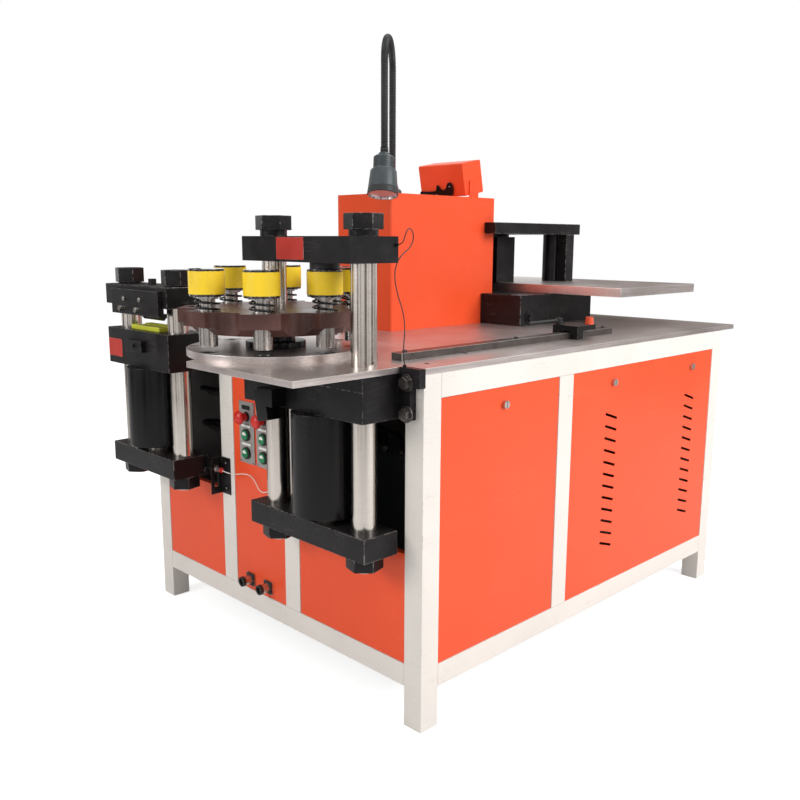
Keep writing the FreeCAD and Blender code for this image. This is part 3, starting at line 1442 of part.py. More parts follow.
def fence():
    """The fence bar with its screws, a sliding stop, its knob and its clamp lever."""
    bar = box(size.fence_x, size.fence_y, table_top_z, size.fence_length, size.fence_width,
              size.fence_height)
    screws = []
    for share in fence_screw_shares:
        screws.append(rod(size.fence_x + size.fence_length * share, size.fence_y + size.fence_width / 2,
                          fence_top_z, size.fence_screw_radius, size.fence_screw_head))
    node("fence_bar", bar, *screws)
    gap = size.seat_gap
    cap_z = fence_top_z + size.fence_screw_head + gap
    front_y = size.fence_y - size.stop_finger
    cap = box(size.stop_x, front_y, cap_z, size.stop_width,
              size.stop_finger + size.fence_width + size.stop_finger, size.stop_block_height)
    finger = box(size.stop_x, front_y, table_top_z + gap, size.stop_finger_width,
                 size.stop_finger - gap, cap_z - table_top_z - gap)
    rear = box(size.stop_x, size.fence_y + size.fence_width + gap, table_top_z + gap,
               size.stop_width, size.stop_finger - gap, cap_z - table_top_z - gap)
    knob_x = size.stop_x + size.stop_width - size.stop_knob_radius * stop_edge_share
    knob_y = front_y + size.stop_knob_radius
    cap_top = cap_z + size.stop_block_height
    lever_x = size.stop_x + size.lever_hub_radius * stop_edge_share
    lever_y = size.fence_y + size.fence_width + size.stop_finger / 2
    bores = [hole(knob_x, knob_y, cap_z, size.stop_screw_radius + size.running_fit, size.stop_block_height),
             hole(lever_x, lever_y, table_top_z, size.stop_screw_radius + size.running_fit,
                  cap_top - table_top_z)]
    node("fence_stop", cut(join(cap, finger, rear), *bores))
    knob = taper(knob_x, knob_y, cap_top + gap, size.stop_knob_radius,
                 size.stop_knob_radius * knob_top_share, size.stop_knob_height)
    screw = rod(knob_x, knob_y, cap_z, size.stop_screw_radius, size.stop_block_height + gap)
    node("stop_knob", join(knob, screw))
    hub = rod(lever_x, lever_y, cap_top + gap, size.lever_hub_radius, size.lever_hub_height)
    stud = rod(lever_x, lever_y, cap_z, size.stop_screw_radius, size.stop_block_height + gap)
    arm_z = cap_top + gap + size.lever_hub_height * lever_height_share
    arm = rod(lever_x - size.lever_length, lever_y, arm_z, size.lever_radius, size.lever_length, "X")
    node("clamp_lever", join(hub, stud, arm))


def power_pack():
    """Oil tank, lid, motor, coupling and pump inside the cabinet, and a valve block."""
    wall = size.tank_wall
    tank = cut(box(size.tank_x, size.tank_y, rail_top_z, size.tank_width, size.tank_depth,
                   size.tank_height),
               box(size.tank_x + wall, size.tank_y + wall, rail_top_z + wall,
                   size.tank_width - wall * 2, size.tank_depth - wall * 2,
                   size.tank_height + size.overrun))
    lid_z = rail_top_z + size.tank_height
    lid = box(size.tank_x, size.tank_y, lid_z, size.tank_width, size.tank_depth, size.tank_lid)
    motor_x = size.tank_x + size.motor_inset
    motor_y = size.tank_y + size.tank_depth / 2
    lid_hole = hole(motor_x, motor_y, lid_z, size.coupling_radius + size.seat_gap, size.tank_lid)
    lid_top = lid_z + size.tank_lid
    breather = rod(size.tank_x + size.tank_width - size.motor_inset / 2, motor_y, lid_top,
                   size.breather_radius, size.breather_height)
    ports = [rod(route[-1][0], route[-1][1], lid_top, size.port_radius, size.port_height)
             for route in (UPPER_HOSE, LOWER_HOSE)]
    flange = rod(motor_x, motor_y, lid_top, size.motor_flange_radius, size.motor_flange_height)
    can = rod(motor_x, motor_y, lid_top + size.motor_flange_height, size.motor_radius,
              size.motor_height)
    shaft_z = lid_top - size.coupling_height
    shaft = rod(motor_x, motor_y, shaft_z, size.coupling_radius, size.coupling_height)
    pump = rod(motor_x, motor_y, shaft_z - size.pump_length, size.pump_radius, size.pump_length)
    node("power_pack", tank, cut(lid, lid_hole), breather, *ports, join(flange, can, shaft), pump)


def valve_block():
    """The valve block on the inside of the far post, with its hose ends and hoses."""
    x = size.tube_width
    block = box(x, size.valve_y, size.valve_z, size.valve_width, size.valve_depth, size.valve_height)
    pieces = [block]
    for share, route in zip(valve_port_shares, (LOWER_HOSE, UPPER_HOSE)):
        hose_x = x + size.valve_width / 2
        y = size.valve_y + size.valve_depth
        z = size.valve_z + size.valve_height * share
        swivel = rod(hose_x, y, z, size.swivel_radius, size.swivel_length, "Y")
        crimp = rod(hose_x, y + size.swivel_length, z, size.crimp_radius, size.crimp_length, "Y")
        pieces.append(join(swivel, crimp))
        pieces.append(cord(route, size.hose_radius))
    node("valve_block", *pieces)


def cord(route, radius):
    """A round tube along straight runs that are joined by arcs as large as the runs allow."""
    points = [FreeCAD.Vector(*place) for place in route]
    edges = []
    start = points[0]
    radii = []
    for before, corner, after in zip(points, points[1:], points[2:]):
        way_in = (corner - before).normalize()
        way_out = (after - corner).normalize()
        half_turn = way_in.getAngle(way_out) / 2
        reach = cord_arc_share * min((corner - before).Length, (after - corner).Length)
        radii.append(reach / math.tan(half_turn))
        first = corner - way_in * reach
        last = corner + way_out * reach
        inward = (way_out - way_in).normalize()
        middle = corner + inward * (radii[-1] / math.cos(half_turn) - radii[-1])
        edges.append(Part.makeLine(start, first))
        edges.append(Part.Arc(first, middle, last).toShape())
        start = last
    edges.append(Part.makeLine(start, points[-1]))
    path = Part.Wire(edges)
    thickness = number_of(radius)
    section = Part.Wire([Part.makeCircle(thickness, points[0], points[1] - points[0])])
    feature = doc.addObject("Part::Feature", "Cord")
    feature.Shape = path.makePipeShell([section], True, False)
    share = feature.Shape.Volume / (math.pi * thickness * thickness * path.Length)
    print(f"cord {path.Length:.0f} mm, volume share {share:.4f}, radii", [round(r) for r in radii])
    return feature


cabinet_frame()
front_doors()
cam_locks()
cabinet_panels()
table_plates()
mount_plates()
press_block()
ram("press_ram", press_x, work_y, press_block_z, size.lower_beam_z + size.beam_height)
press_moving_frame()
turret()
for number, (angle, share) in enumerate(zip(ANGLES["punch_stations"], die_bore_shares), start=1):
    punch(number, angle, share)
springs()
forming_press()
forming_tools()
operator_station()
limit_switch()
control_tower()
lamp()
control_box()
bending_unit()
fence()
power_pack()
valve_block()
node("beam_wire", cord(BEAM_WIRE, size.wire_radius))
node("sensor_wire", cord(SENSOR_WIRE, size.wire_radius))

doc.recompute()
faults = [item.Label for item in doc.Objects if "Invalid" in item.State or "Error" in item.State]
for label, part in nodes.items():
    if part.Shape.isNull() or not part.Shape.isValid():
        faults.append(label)
if faults:
    raise RuntimeError("failed: " + ", ".join(faults))
os.makedirs("parts", exist_ok=True)
for label, part in nodes.items():
    part.Shape.exportStep(f"parts/{label}.step")
whole = Part.makeCompound([part.Shape for part in nodes.values()]).BoundBox
print(len(nodes), "nodes; box", [round(v, 2) for v in (whole.XMin, whole.YMin, whole.ZMin,
                                                     whole.XMax, whole.YMax, whole.ZMax)])
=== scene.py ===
"""Looks of the busbar processing machine: rounded metal, finishes, small fittings, light and camera."""
import json
import math

import bmesh
import bpy
from mathutils import Matrix, Vector


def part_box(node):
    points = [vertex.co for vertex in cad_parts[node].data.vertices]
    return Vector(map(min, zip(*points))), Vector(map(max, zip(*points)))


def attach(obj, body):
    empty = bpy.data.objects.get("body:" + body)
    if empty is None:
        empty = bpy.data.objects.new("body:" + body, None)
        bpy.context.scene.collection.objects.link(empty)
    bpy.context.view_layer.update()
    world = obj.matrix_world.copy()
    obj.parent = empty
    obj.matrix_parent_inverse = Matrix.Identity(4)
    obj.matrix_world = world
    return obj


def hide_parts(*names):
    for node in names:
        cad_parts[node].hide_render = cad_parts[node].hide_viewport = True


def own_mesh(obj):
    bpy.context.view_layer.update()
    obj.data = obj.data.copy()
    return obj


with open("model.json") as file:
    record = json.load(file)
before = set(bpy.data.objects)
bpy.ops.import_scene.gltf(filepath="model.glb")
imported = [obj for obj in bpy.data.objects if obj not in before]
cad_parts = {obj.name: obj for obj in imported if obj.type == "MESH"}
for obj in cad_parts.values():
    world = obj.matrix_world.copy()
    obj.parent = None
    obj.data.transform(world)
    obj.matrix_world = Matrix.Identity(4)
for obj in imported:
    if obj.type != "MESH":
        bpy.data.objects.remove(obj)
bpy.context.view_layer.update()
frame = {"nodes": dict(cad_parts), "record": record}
nodes = frame["nodes"]
body_of_node = {node: body for body, held in frame["record"]["behaviour"]["bodies"].items()
                for node in held}
MIDDLE = Vector((0.646, 0.615, 0.0))


def at(x, y, z):
    """A point of the machine, in mm from its near leg's outer corner, as metres in the frame."""
    return Vector((x, y, z)) / 1000 - MIDDLE


def new_object(name, data):
    """An object in the scene that holds this data."""
    thing = bpy.data.objects.new(name, data)
    bpy.context.scene.collection.objects.link(thing)
    return thing


# Node helpers


def add(tree, kind, **values):
    """A node whose properties and unlinked inputs take these values."""
    node = tree.nodes.new(kind)
    for key, value in values.items():
        if hasattr(node, key):
            setattr(node, key, value)
        else:
            node.inputs[key.replace("_", " ")].default_value = value
    return node


def wire(tree, source, target):
    """Links an output to an input, or gives the input a plain value."""
    if isinstance(source, bpy.types.NodeSocket):
        tree.links.new(source, target)
    else:
        target.default_value = source


def fed(tree, kind, inputs, **values):
    """The first output of a new node, with each of these inputs wired."""
    node = add(tree, kind, **values)
    for key, source in inputs.items():
        wire(tree, source, node.inputs[key])
    return node.outputs[0]


def maths(tree, operation, *values):
    return fed(tree, "ShaderNodeMath", dict(enumerate(values)), operation=operation)


def spread(tree, value, low, high, start, end):
    return fed(tree, "ShaderNodeMapRange", {"Value": value, "From Min": low, "From Max": high,
                                            "To Min": start, "To Max": end}, clamp=True)


def new_tree(kind, name, inputs, outputs, made="Float"):
    """A tree with named inputs, each of the type of its first value, and named outputs."""
    tree = bpy.data.node_groups.new(name, kind)
    for label, value in inputs.items():
        socket_kind = {float: "Float", tuple: "Vector", str: value}[type(value)]
        socket = tree.interface.new_socket(label, in_out="INPUT", socket_type="NodeSocket" + socket_kind)
        if socket_kind != value:
            socket.default_value = value
    for label in outputs:
        tree.interface.new_socket(label, in_out="OUTPUT", socket_type="NodeSocket" + made)
    return tree, add(tree, "NodeGroupInput").outputs, add(tree, "NodeGroupOutput").inputs


def new_group(name, inputs, *outputs):
    """A shader group that works on a vector."""
    return new_tree("ShaderNodeTree", name, {"Vector": (0, 0, 0), **inputs}, outputs)


def noise(group, vector, size, detail=3.0, rough=0.55):
    return fed(group, "ShaderNodeTexNoise", {"Vector": vector, "Scale": size}, Detail=detail, Roughness=rough)


def make_blotches():
    """Slow cloudy change of tone, as on hand-sprayed or handled metal."""
    group, given, out = new_group("Cloudy tone", {"Size": 4.0, "Strength": 0.1}, "Tone", "Cloud")
    cloud = noise(group, given["Vector"], given["Size"], 5.0, 0.6)
    low = maths(group, "SUBTRACT", 1.0, given["Strength"])
    high = maths(group, "ADD", 1.0, given["Strength"])
    wire(group, spread(group, cloud, 0.28, 0.72, low, high), out["Tone"])
    wire(group, cloud, out["Cloud"])
    return group


def make_edge_wear():
    """Rubbed places along the rounded edges, broken up by noise."""
    group, given, out = new_group("Rubbed edges", {"Size": 60.0, "Amount": 0.4}, "Mask")
    edge = add(group, "ShaderNodeAttribute", attribute_name="edge").outputs["Fac"]
    grain = noise(group, given["Vector"], given["Size"], 6.0, 0.65)
    start = maths(group, "SUBTRACT", 0.72, given["Amount"])
    end = maths(group, "ADD", start, 0.12)
    wire(group, maths(group, "MULTIPLY", edge, spread(group, grain, start, end, 0.0, 1.0)), out["Mask"])
    return group


def make_drawn_lines():
    """Fine parallel lines of a ground or drawn surface."""
    group, given, out = new_group("Ground lines", {"Stretch": (4, 400, 400), "Strength": 0.5},
                                  "Height", "Tone")
    scaled = fed(group, "ShaderNodeVectorMath", {0: given["Vector"], 1: given["Stretch"]},
                 operation="MULTIPLY")
    lines = noise(group, scaled, 1.0, 3.0, 0.6)
    wire(group, maths(group, "MULTIPLY", lines, given["Strength"]), out["Height"])
    low = maths(group, "SUBTRACT", 1.0, maths(group, "MULTIPLY", given["Strength"], 0.3))
    wire(group, spread(group, lines, 0.3, 0.7, low, 1.06), out["Tone"])
    return group


def make_peel():
    """The small even waves of sprayed and baked paint."""
    group, given, out = new_group("Paint peel", {"Size": 500.0, "Strength": 0.3}, "Height")
    wire(group, maths(group, "MULTIPLY", noise(group, given["Vector"], given["Size"], 1.0, 0.4),
                      given["Strength"]), out["Height"])
    return group


def make_scratches():
    """A few thin crossing scratches."""
    group, given, out = new_group("Thin scratches", {"Size": 8.0, "Amount": 0.02}, "Mask")
    masks = []
    for turn, stretch in (((0.1, 0.06, 0.5), (0.7, 30, 24)), ((0.08, 0.1, -0.35), (26, 0.8, 22))):
        turned = fed(group, "ShaderNodeMapping", {"Vector": given["Vector"]}, Rotation=turn, Scale=stretch)
        grain = noise(group, turned, given["Size"], 2.0, 0.5)
        away = maths(group, "ABSOLUTE", maths(group, "SUBTRACT", grain, 0.5))
        width = maths(group, "MULTIPLY", given["Amount"], 3.0)
        masks.append(spread(group, away, 0.0, width, 1.0, 0.0))
    fade = spread(group, noise(group, given["Vector"], 9.0, 2.0), 0.5, 0.62, 0.0, 1.0)
    wire(group, maths(group, "MULTIPLY", maths(group, "MAXIMUM", *masks), fade), out["Mask"])
    return group


def make_dust():
    """Thin dust that settles on what faces up."""
    group, given, out = new_group("Settled dust", {"Size": 14.0, "Amount": 0.2}, "Mask")
    normal = add(group, "ShaderNodeNewGeometry").outputs["Normal"]
    upward = add(group, "ShaderNodeSeparateXYZ")
    wire(group, normal, upward.inputs[0])
    facing = spread(group, upward.outputs["Z"], 0.6, 1.0, 0.0, 1.0)
    cloud = spread(group, noise(group, given["Vector"], given["Size"], 6.0, 0.7), 0.35, 0.75, 0.0, 1.0)
    lying = maths(group, "MULTIPLY", facing, cloud)
    wire(group, maths(group, "MULTIPLY", lying, given["Amount"]), out["Mask"])
    return group


CLOUDY = make_blotches()
RUBBED = make_edge_wear()
GROUND = make_drawn_lines()
PEEL = make_peel()
SCRATCHED = make_scratches()
DUSTY = make_dust()


def effect(tree, group, vector, **values):
    node = add(tree, "ShaderNodeGroup", node_tree=group)
    wire(tree, vector, node.inputs["Vector"])
    for key, value in values.items():
        node.inputs[key.capitalize()].default_value = value
    return node.outputs


def mixed(tree, mask, first, second):
    """First where the mask is 0, second where it is 1."""
    node = add(tree, "ShaderNodeMix", data_type="RGBA")
    for index, value in ((0, mask), (6, first), (7, second)):
        wire(tree, (*value, 1.0) if isinstance(value, tuple) else value, node.inputs[index])
    return node.outputs[2]


def toned(tree, colour, tone):
    return fed(tree, "ShaderNodeVectorMath", {0: colour, "Scale": tone}, operation="SCALE")


def principled(name, **values):
    """A material, its tree and its Principled inputs, which take these values."""
    material = bpy.data.materials.new(name)
    material.use_nodes = True
    surface = material.node_tree.nodes["Principled BSDF"].inputs
    for key, value in values.items():
        surface[key.replace("_", " ")].default_value = value
    return material, material.node_tree, surface


finishes = {}


def finish(name, colour, rough, metal=0.0, coat=0.0, cloud=(5.0, 0.06), peel=None, ground=None,
           rubbed=None, scratches=None, dust=None, specular=0.5, rough_play=0.06, bump=0.15):
    """A material: colour clouded in tone, with the surface effects that are given.

    peel (size, strength), ground (stretch, strength), rubbed (size, amount, colour, metal share),
    scratches (size, width, colour), dust (amount, colour).
    """
    material, tree, surface = principled(name, Metallic=metal, Coat_Weight=coat, Coat_Roughness=0.12,
                                         Specular_IOR_Level=specular)
    place = add(tree, "ShaderNodeTexCoord").outputs["Object"]
    clouds = effect(tree, CLOUDY, place, size=cloud[0], strength=cloud[1])
    shade = toned(tree, colour, clouds["Tone"])
    roughness = spread(tree, clouds["Cloud"], 0.3, 0.7, max(rough - rough_play, 0.02), rough + rough_play)
    heights = []
    if ground:
        lines = effect(tree, GROUND, place, stretch=ground[0], strength=ground[1])
        shade = toned(tree, shade, lines["Tone"])
        heights.append(lines["Height"])
    if peel:
        heights.append(effect(tree, PEEL, place, size=peel[0], strength=peel[1])["Height"])
    if scratches:
        marks = effect(tree, SCRATCHED, place, size=scratches[0], amount=scratches[1])["Mask"]
        shade = mixed(tree, marks, shade, scratches[2])
    if rubbed:
        worn = effect(tree, RUBBED, place, size=rubbed[0], amount=rubbed[1])["Mask"]
        shade = mixed(tree, worn, shade, rubbed[2])
        if rubbed[3] != metal:
            wire(tree, spread(tree, worn, 0.0, 1.0, metal, rubbed[3]), surface["Metallic"])
    if dust:
        lying = effect(tree, DUSTY, place, size=14.0, amount=dust[0])["Mask"]
        shade = mixed(tree, lying, shade, dust[1])
        roughness = maths(tree, "ADD", roughness, maths(tree, "MULTIPLY", lying, 0.3))
    wire(tree, shade, surface["Base Color"])
    wire(tree, roughness, surface["Roughness"])
    if heights:
        height = heights[0] if len(heights) == 1 else maths(tree, "ADD", *heights)
        relief = fed(tree, "ShaderNodeBump", {"Height": height}, Strength=bump, Distance=0.001)
        wire(tree, relief, surface["Normal"])
    finishes[name] = material


finish("cream powder coat", (0.725, 0.685, 0.635), 0.42, specular=0.3, peel=(420.0, 0.5),
       cloud=(3.0, 0.045), rubbed=(45.0, 0.14, (0.52, 0.48, 0.42), 0.0),
       scratches=(5.0, 0.004, (0.60, 0.56, 0.51)), dust=(0.25, (0.46, 0.43, 0.38)))
finish("orange enamel", (0.80, 0.083, 0.024), 0.33, specular=0.22, coat=0.05, peel=(330.0, 0.5),
       cloud=(2.2, 0.06), rubbed=(60.0, 0.10, (0.88, 0.20, 0.09), 0.0),
       scratches=(4.0, 0.003, (0.82, 0.11, 0.045)), dust=(0.22, (0.50, 0.15, 0.09)))
finish("blackened steel", (0.008, 0.007, 0.0078), 0.34, specular=0.2, cloud=(11.0, 0.4), peel=(260.0, 0.6),
       ground=((60, 60, 60), 0.3), rubbed=(70.0, 0.26, (0.17, 0.155, 0.145), 0.6),
       scratches=(6.0, 0.006, (0.045, 0.04, 0.04)), dust=(0.14, (0.10, 0.09, 0.082)), rough_play=0.1)
finish("black enamel", (0.005, 0.0045, 0.005), 0.24, specular=0.2, coat=0.04, cloud=(6.0, 0.35),
       peel=(300.0, 0.5), rubbed=(60.0, 0.14, (0.10, 0.095, 0.09), 0.3),
       dust=(0.16, (0.09, 0.08, 0.075)))
finish("hard chrome", (0.60, 0.55, 0.50), 0.20, metal=1.0, cloud=(14.0, 0.06),
       ground=((30, 30, 900), 0.25), scratches=(14.0, 0.006, (0.48, 0.45, 0.43)), rough_play=0.035, bump=0.04)
finish("ground steel plate", (0.63, 0.555, 0.53), 0.33, metal=0.9, cloud=(4.0, 0.10),
       ground=((7, 420, 420), 1.0), scratches=(5.0, 0.006, (0.66, 0.63, 0.61)),
       rubbed=(30.0, 0.5, (0.74, 0.70, 0.67), 1.0), dust=(0.12, (0.34, 0.26, 0.22)), rough_play=0.045)
finish("turned steel", (0.44, 0.41, 0.385), 0.25, metal=1.0, cloud=(30.0, 0.14),
       ground=((40, 40, 900), 0.6), rubbed=(60.0, 0.5, (0.62, 0.59, 0.57), 1.0), rough_play=0.07)
finish("dark tool steel", (0.10, 0.088, 0.082), 0.33, metal=0.7, specular=0.3, cloud=(26.0, 0.25),
       ground=((40, 40, 700), 0.6), rubbed=(80.0, 0.5, (0.42, 0.40, 0.38), 1.0), rough_play=0.08)
finish("maroon brown enamel", (0.078, 0.032, 0.026), 0.34, specular=0.32, coat=0.05, cloud=(9.0, 0.4),
       peel=(240.0, 0.6), rubbed=(38.0, 0.36, (0.30, 0.20, 0.16), 0.4),
       scratches=(8.0, 0.006, (0.16, 0.09, 0.075)), dust=(0.22, (0.19, 0.125, 0.10)), rough_play=0.09)
finish("yellow pad", (0.92, 0.63, 0.028), 0.38, specular=0.3, cloud=(16.0, 0.08), peel=(380.0, 0.7),
       rubbed=(70.0, 0.24, (0.60, 0.40, 0.06), 0.0), scratches=(12.0, 0.005, (0.62, 0.42, 0.06)))
finish("glossy black cap", (0.008, 0.008, 0.009), 0.10, coat=0.8, cloud=(20.0, 0.2),
       rubbed=(80.0, 0.2, (0.10, 0.10, 0.10), 0.0), dust=(0.10, (0.08, 0.08, 0.08)))
finish("black spring steel", (0.012, 0.012, 0.013), 0.25, specular=0.4, metal=0.2, cloud=(60.0, 0.3),
       peel=(300.0, 0.4))
finish("matt grey plate", (0.33, 0.315, 0.295), 0.42, metal=0.25, specular=0.3, cloud=(9.0, 0.07),
       ground=((420, 6, 420), 0.5), rubbed=(70.0, 0.3, (0.55, 0.54, 0.52), 0.8))
finish("red button plastic", (0.58, 0.016, 0.012), 0.24, specular=0.35, coat=0.15, cloud=(30.0, 0.06),
       rubbed=(90.0, 0.1, (0.72, 0.09, 0.07), 0.0))
finish("green button plastic", (0.012, 0.20, 0.075), 0.26, specular=0.35, coat=0.15, cloud=(30.0, 0.06),
       rubbed=(90.0, 0.1, (0.08, 0.36, 0.18), 0.0))
finish("white button plastic", (0.74, 0.73, 0.69), 0.32, specular=0.35, cloud=(30.0, 0.03))
finish("black plastic", (0.016, 0.0165, 0.017), 0.42, specular=0.35, cloud=(30.0, 0.15), peel=(900.0, 0.8),
       rubbed=(90.0, 0.2, (0.06, 0.06, 0.06), 0.0), dust=(0.12, (0.10, 0.095, 0.09)))
finish("lamp body grey", (0.048, 0.060, 0.064), 0.36, specular=0.35, cloud=(24.0, 0.12), peel=(700.0, 0.8),
       rubbed=(80.0, 0.22, (0.13, 0.14, 0.145), 0.0), dust=(0.15, (0.13, 0.13, 0.125)))
finish("zinc plate", (0.52, 0.50, 0.47), 0.28, metal=1.0, cloud=(40.0, 0.16),
       rubbed=(90.0, 0.4, (0.70, 0.69, 0.67), 1.0), rough_play=0.1)
finish("galvanised sheet", (0.36, 0.37, 0.37), 0.42, metal=0.9, cloud=(40.0, 0.2), rough_play=0.1)
finish("grey primer", (0.085, 0.082, 0.082), 0.6, specular=0.3, cloud=(4.0, 0.2), peel=(200.0, 0.6),
       dust=(0.3, (0.16, 0.15, 0.135)))
finish("light grey primer", (0.36, 0.35, 0.345), 0.6, specular=0.3, cloud=(4.0, 0.15), peel=(200.0, 0.6),
       dust=(0.3, (0.30, 0.28, 0.26)))
finish("machine grey paint", (0.16, 0.185, 0.20), 0.38, specular=0.35, coat=0.1, cloud=(5.0, 0.08),
       peel=(330.0, 0.5), rubbed=(60.0, 0.15, (0.36, 0.36, 0.36), 0.4), dust=(0.3, (0.22, 0.21, 0.19)))
finish("hose rubber", (0.018, 0.017, 0.017), 0.55, specular=0.3, cloud=(40.0, 0.2), peel=(700.0, 1.0))
finish("white cable", (0.76, 0.74, 0.69), 0.38, specular=0.4, cloud=(40.0, 0.04))
finish("black cable", (0.020, 0.018, 0.019), 0.40, specular=0.4, cloud=(40.0, 0.15))
finish("dark screen glass", (0.010, 0.012, 0.015), 0.06, coat=0.6, cloud=(3.0, 0.2))
finish("lamp reflector", (0.74, 0.74, 0.74), 0.12, metal=1.0, cloud=(60.0, 0.05))
finish("pink tinted lens", (0.60, 0.30, 0.30), 0.14, coat=0.4, cloud=(40.0, 0.08),
       ground=((900, 40, 40), 0.4))
finish("yellow green strip", (0.68, 0.70, 0.05), 0.34, specular=0.35, cloud=(30.0, 0.1),
       rubbed=(60.0, 0.3, (0.42, 0.38, 0.24), 0.5))
finish("bare red plate", (0.47, 0.030, 0.018), 0.32, specular=0.35, coat=0.1, cloud=(20.0, 0.08),
       rubbed=(60.0, 0.3, (0.62, 0.48, 0.42), 0.8))
finish("orange red knob", (0.72, 0.085, 0.03), 0.26, specular=0.4, coat=0.2, cloud=(30.0, 0.08),
       rubbed=(80.0, 0.3, (0.85, 0.30, 0.18), 0.0))


# Shapes from the CAD solids


def separate(mesh):
    """The closed solids of a CAD mesh, each merged and with its flat faces joined."""
    whole = bmesh.new()
    whole.from_mesh(mesh)
    bmesh.ops.remove_doubles(whole, verts=whole.verts, dist=2e-6)
    whole.verts.index_update()
    left = set(whole.faces)
    solids = []
    while left:
        face = left.pop()
        group, waiting = [face], [face]
        while waiting:
            for edge in waiting.pop().edges:
                if len(edge.link_faces) != 2:
                    continue
                for other in edge.link_faces:
                    if other in left:
                        left.discard(other)
                        group.append(other)
                        waiting.append(other)
        solid = bmesh.new()
        points = {}
        for face in group:
            for vert in face.verts:
                if vert.index not in points or not points[vert.index].is_valid:
                    points[vert.index] = solid.verts.new(vert.co)
            solid.faces.new([points[vert.index] for vert in face.verts])
        bmesh.ops.dissolve_limit(solid, angle_limit=math.radians(0.4), verts=solid.verts,
                                 edges=solid.edges)
        solids.append(solid)
    whole.free()
    return solids


def span(solid):
    """Lowest and highest corners of a solid in machine mm."""
    corners = [(vert.co + MIDDLE) * 1000 for vert in solid.verts]
    return (Vector([min(c[i] for c in corners) for i in range(3)]),
            Vector([max(c[i] for c in corners) for i in range(3)]))


def round_edges(solid, width):
    """Rounds the sharp edges by a width in m, and marks the rounded faces for the worn finishes."""
    layer = solid.faces.layers.float.get("edge") or solid.faces.layers.float.new("edge")
    edges = [edge for edge in solid.edges
             if len(edge.link_faces) == 2 and edge.calc_face_angle(0) > math.radians(28)]
    if edges and width:
        made = bmesh.ops.bevel(solid, geom=edges, offset=width, offset_type="OFFSET", segments=2,
                               profile=0.55, affect="EDGES", clamp_overlap=True)
        for face in made["faces"]:
            face[layer] = 1.0


def mesh_of(shape, name, materials=()):
    """A mesh of this shape with these finishes."""
    mesh = bpy.data.meshes.new(name)
    shape.to_mesh(mesh)
    shape.free()
    for material in materials:
        mesh.materials.append(finishes[material])
    return mesh


def settle(name, mesh, body, replaced=()):
    """Shades a finished piece, rides it on its body and hides the CAD parts that it replaces."""
    mesh.shade_smooth()
    mesh.set_sharp_from_angle(angle=math.radians(36))
    piece = new_object(name, mesh)
    piece.modifiers.new("Even shading", "WEIGHTED_NORMAL").keep_sharp = True
    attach(piece, body)
    if replaced:
        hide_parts(*replaced)
    return piece


CABINET_MIDDLE = (745, 615, 500)
SHEET_LIMIT = 30
ROUND_SHARE = 0.2


def looks_inside(face, low, high):
    """Whether a face of a thin sheet part looks to the middle of the cabinet."""
    size = high - low
    across = min(range(3), key=lambda axis: size[axis])
    middle = CABINET_MIDDLE[across] - (low[across] + high[across]) / 2
    return size[across] < SHEET_LIMIT and face.normal[across] * math.copysign(1, middle) > 0.9


def dress(node, choose, width=0.9, inside=None):
    """Copies a node with rounded edges and its finishes, one chosen for each solid by its span.

    choose is a finish's name, or a function of the low and high corner that gives one.
    inside is the finish of the faces that look into the cabinet.
    """
    used = []
    joined = bmesh.new()
    joined.faces.layers.float.new("edge")
    for solid in separate(nodes[node].data):
        low, high = span(solid)
        material = choose if isinstance(choose, str) else choose(low, high)
        if material not in used:
            used.append(material)
        round_edges(solid, min(width, min(high - low) * ROUND_SHARE) / 1000)
        for face in solid.faces:
            chosen = inside if inside and looks_inside(face, low, high) else material
            if chosen not in used:
                used.append(chosen)
            face.material_index = used.index(chosen)
        part = mesh_of(solid, "part")
        joined.from_mesh(part)
        bpy.data.meshes.remove(part)
    name = node + "_finished"
    return settle(name, mesh_of(joined, name, used), body_of_node[node], (node,))


def by_size(axis, limit, larger, smaller):
    """A choice of finish by a solid's size along one axis."""
    return lambda low, high: larger if getattr(high - low, axis) > limit else smaller


beam_finish = by_size("z", 20, "blackened steel", "black plastic")
column_finish = by_size("z", 300, "hard chrome", "blackened steel")


def bush_finish(low, high):
    return "dark tool steel" if low.z < 930 else "turned steel"


def punch_finish(low, high):
    tall = high.z - low.z
    if tall > 70:
        return "turned steel"
    return "glossy black cap" if tall < 8 else "yellow pad"


def forming_tool_finish(low, high):
    return "zinc plate" if max(high - low) < 30 else "blackened steel"


def operator_plate_finish(low, high):
    if high.z - low.z > 150:
        return "matt grey plate"
    if low.z > 300:
        return "black plastic"
    return "black enamel" if high.x - low.x < 6 else "zinc plate"


def panel_finish(low, high):
    if high.x - low.x > 1000 and high.z - low.z < 60:
        return "galvanised sheet"
    return "zinc plate" if max(high - low) < 60 else "orange enamel"


def power_pack_finish(low, high):
    motor = low.z > 470 and high.z - low.z > 150
    return "machine grey paint" if motor or max(high - low) > 200 else "turned steel"


def valve_finish(low, high):
    size = high - low
    if size.z > 200 and size.x < 100:
        return "light grey primer"
    return "hose rubber" if max(size) > 200 else "blackened steel"


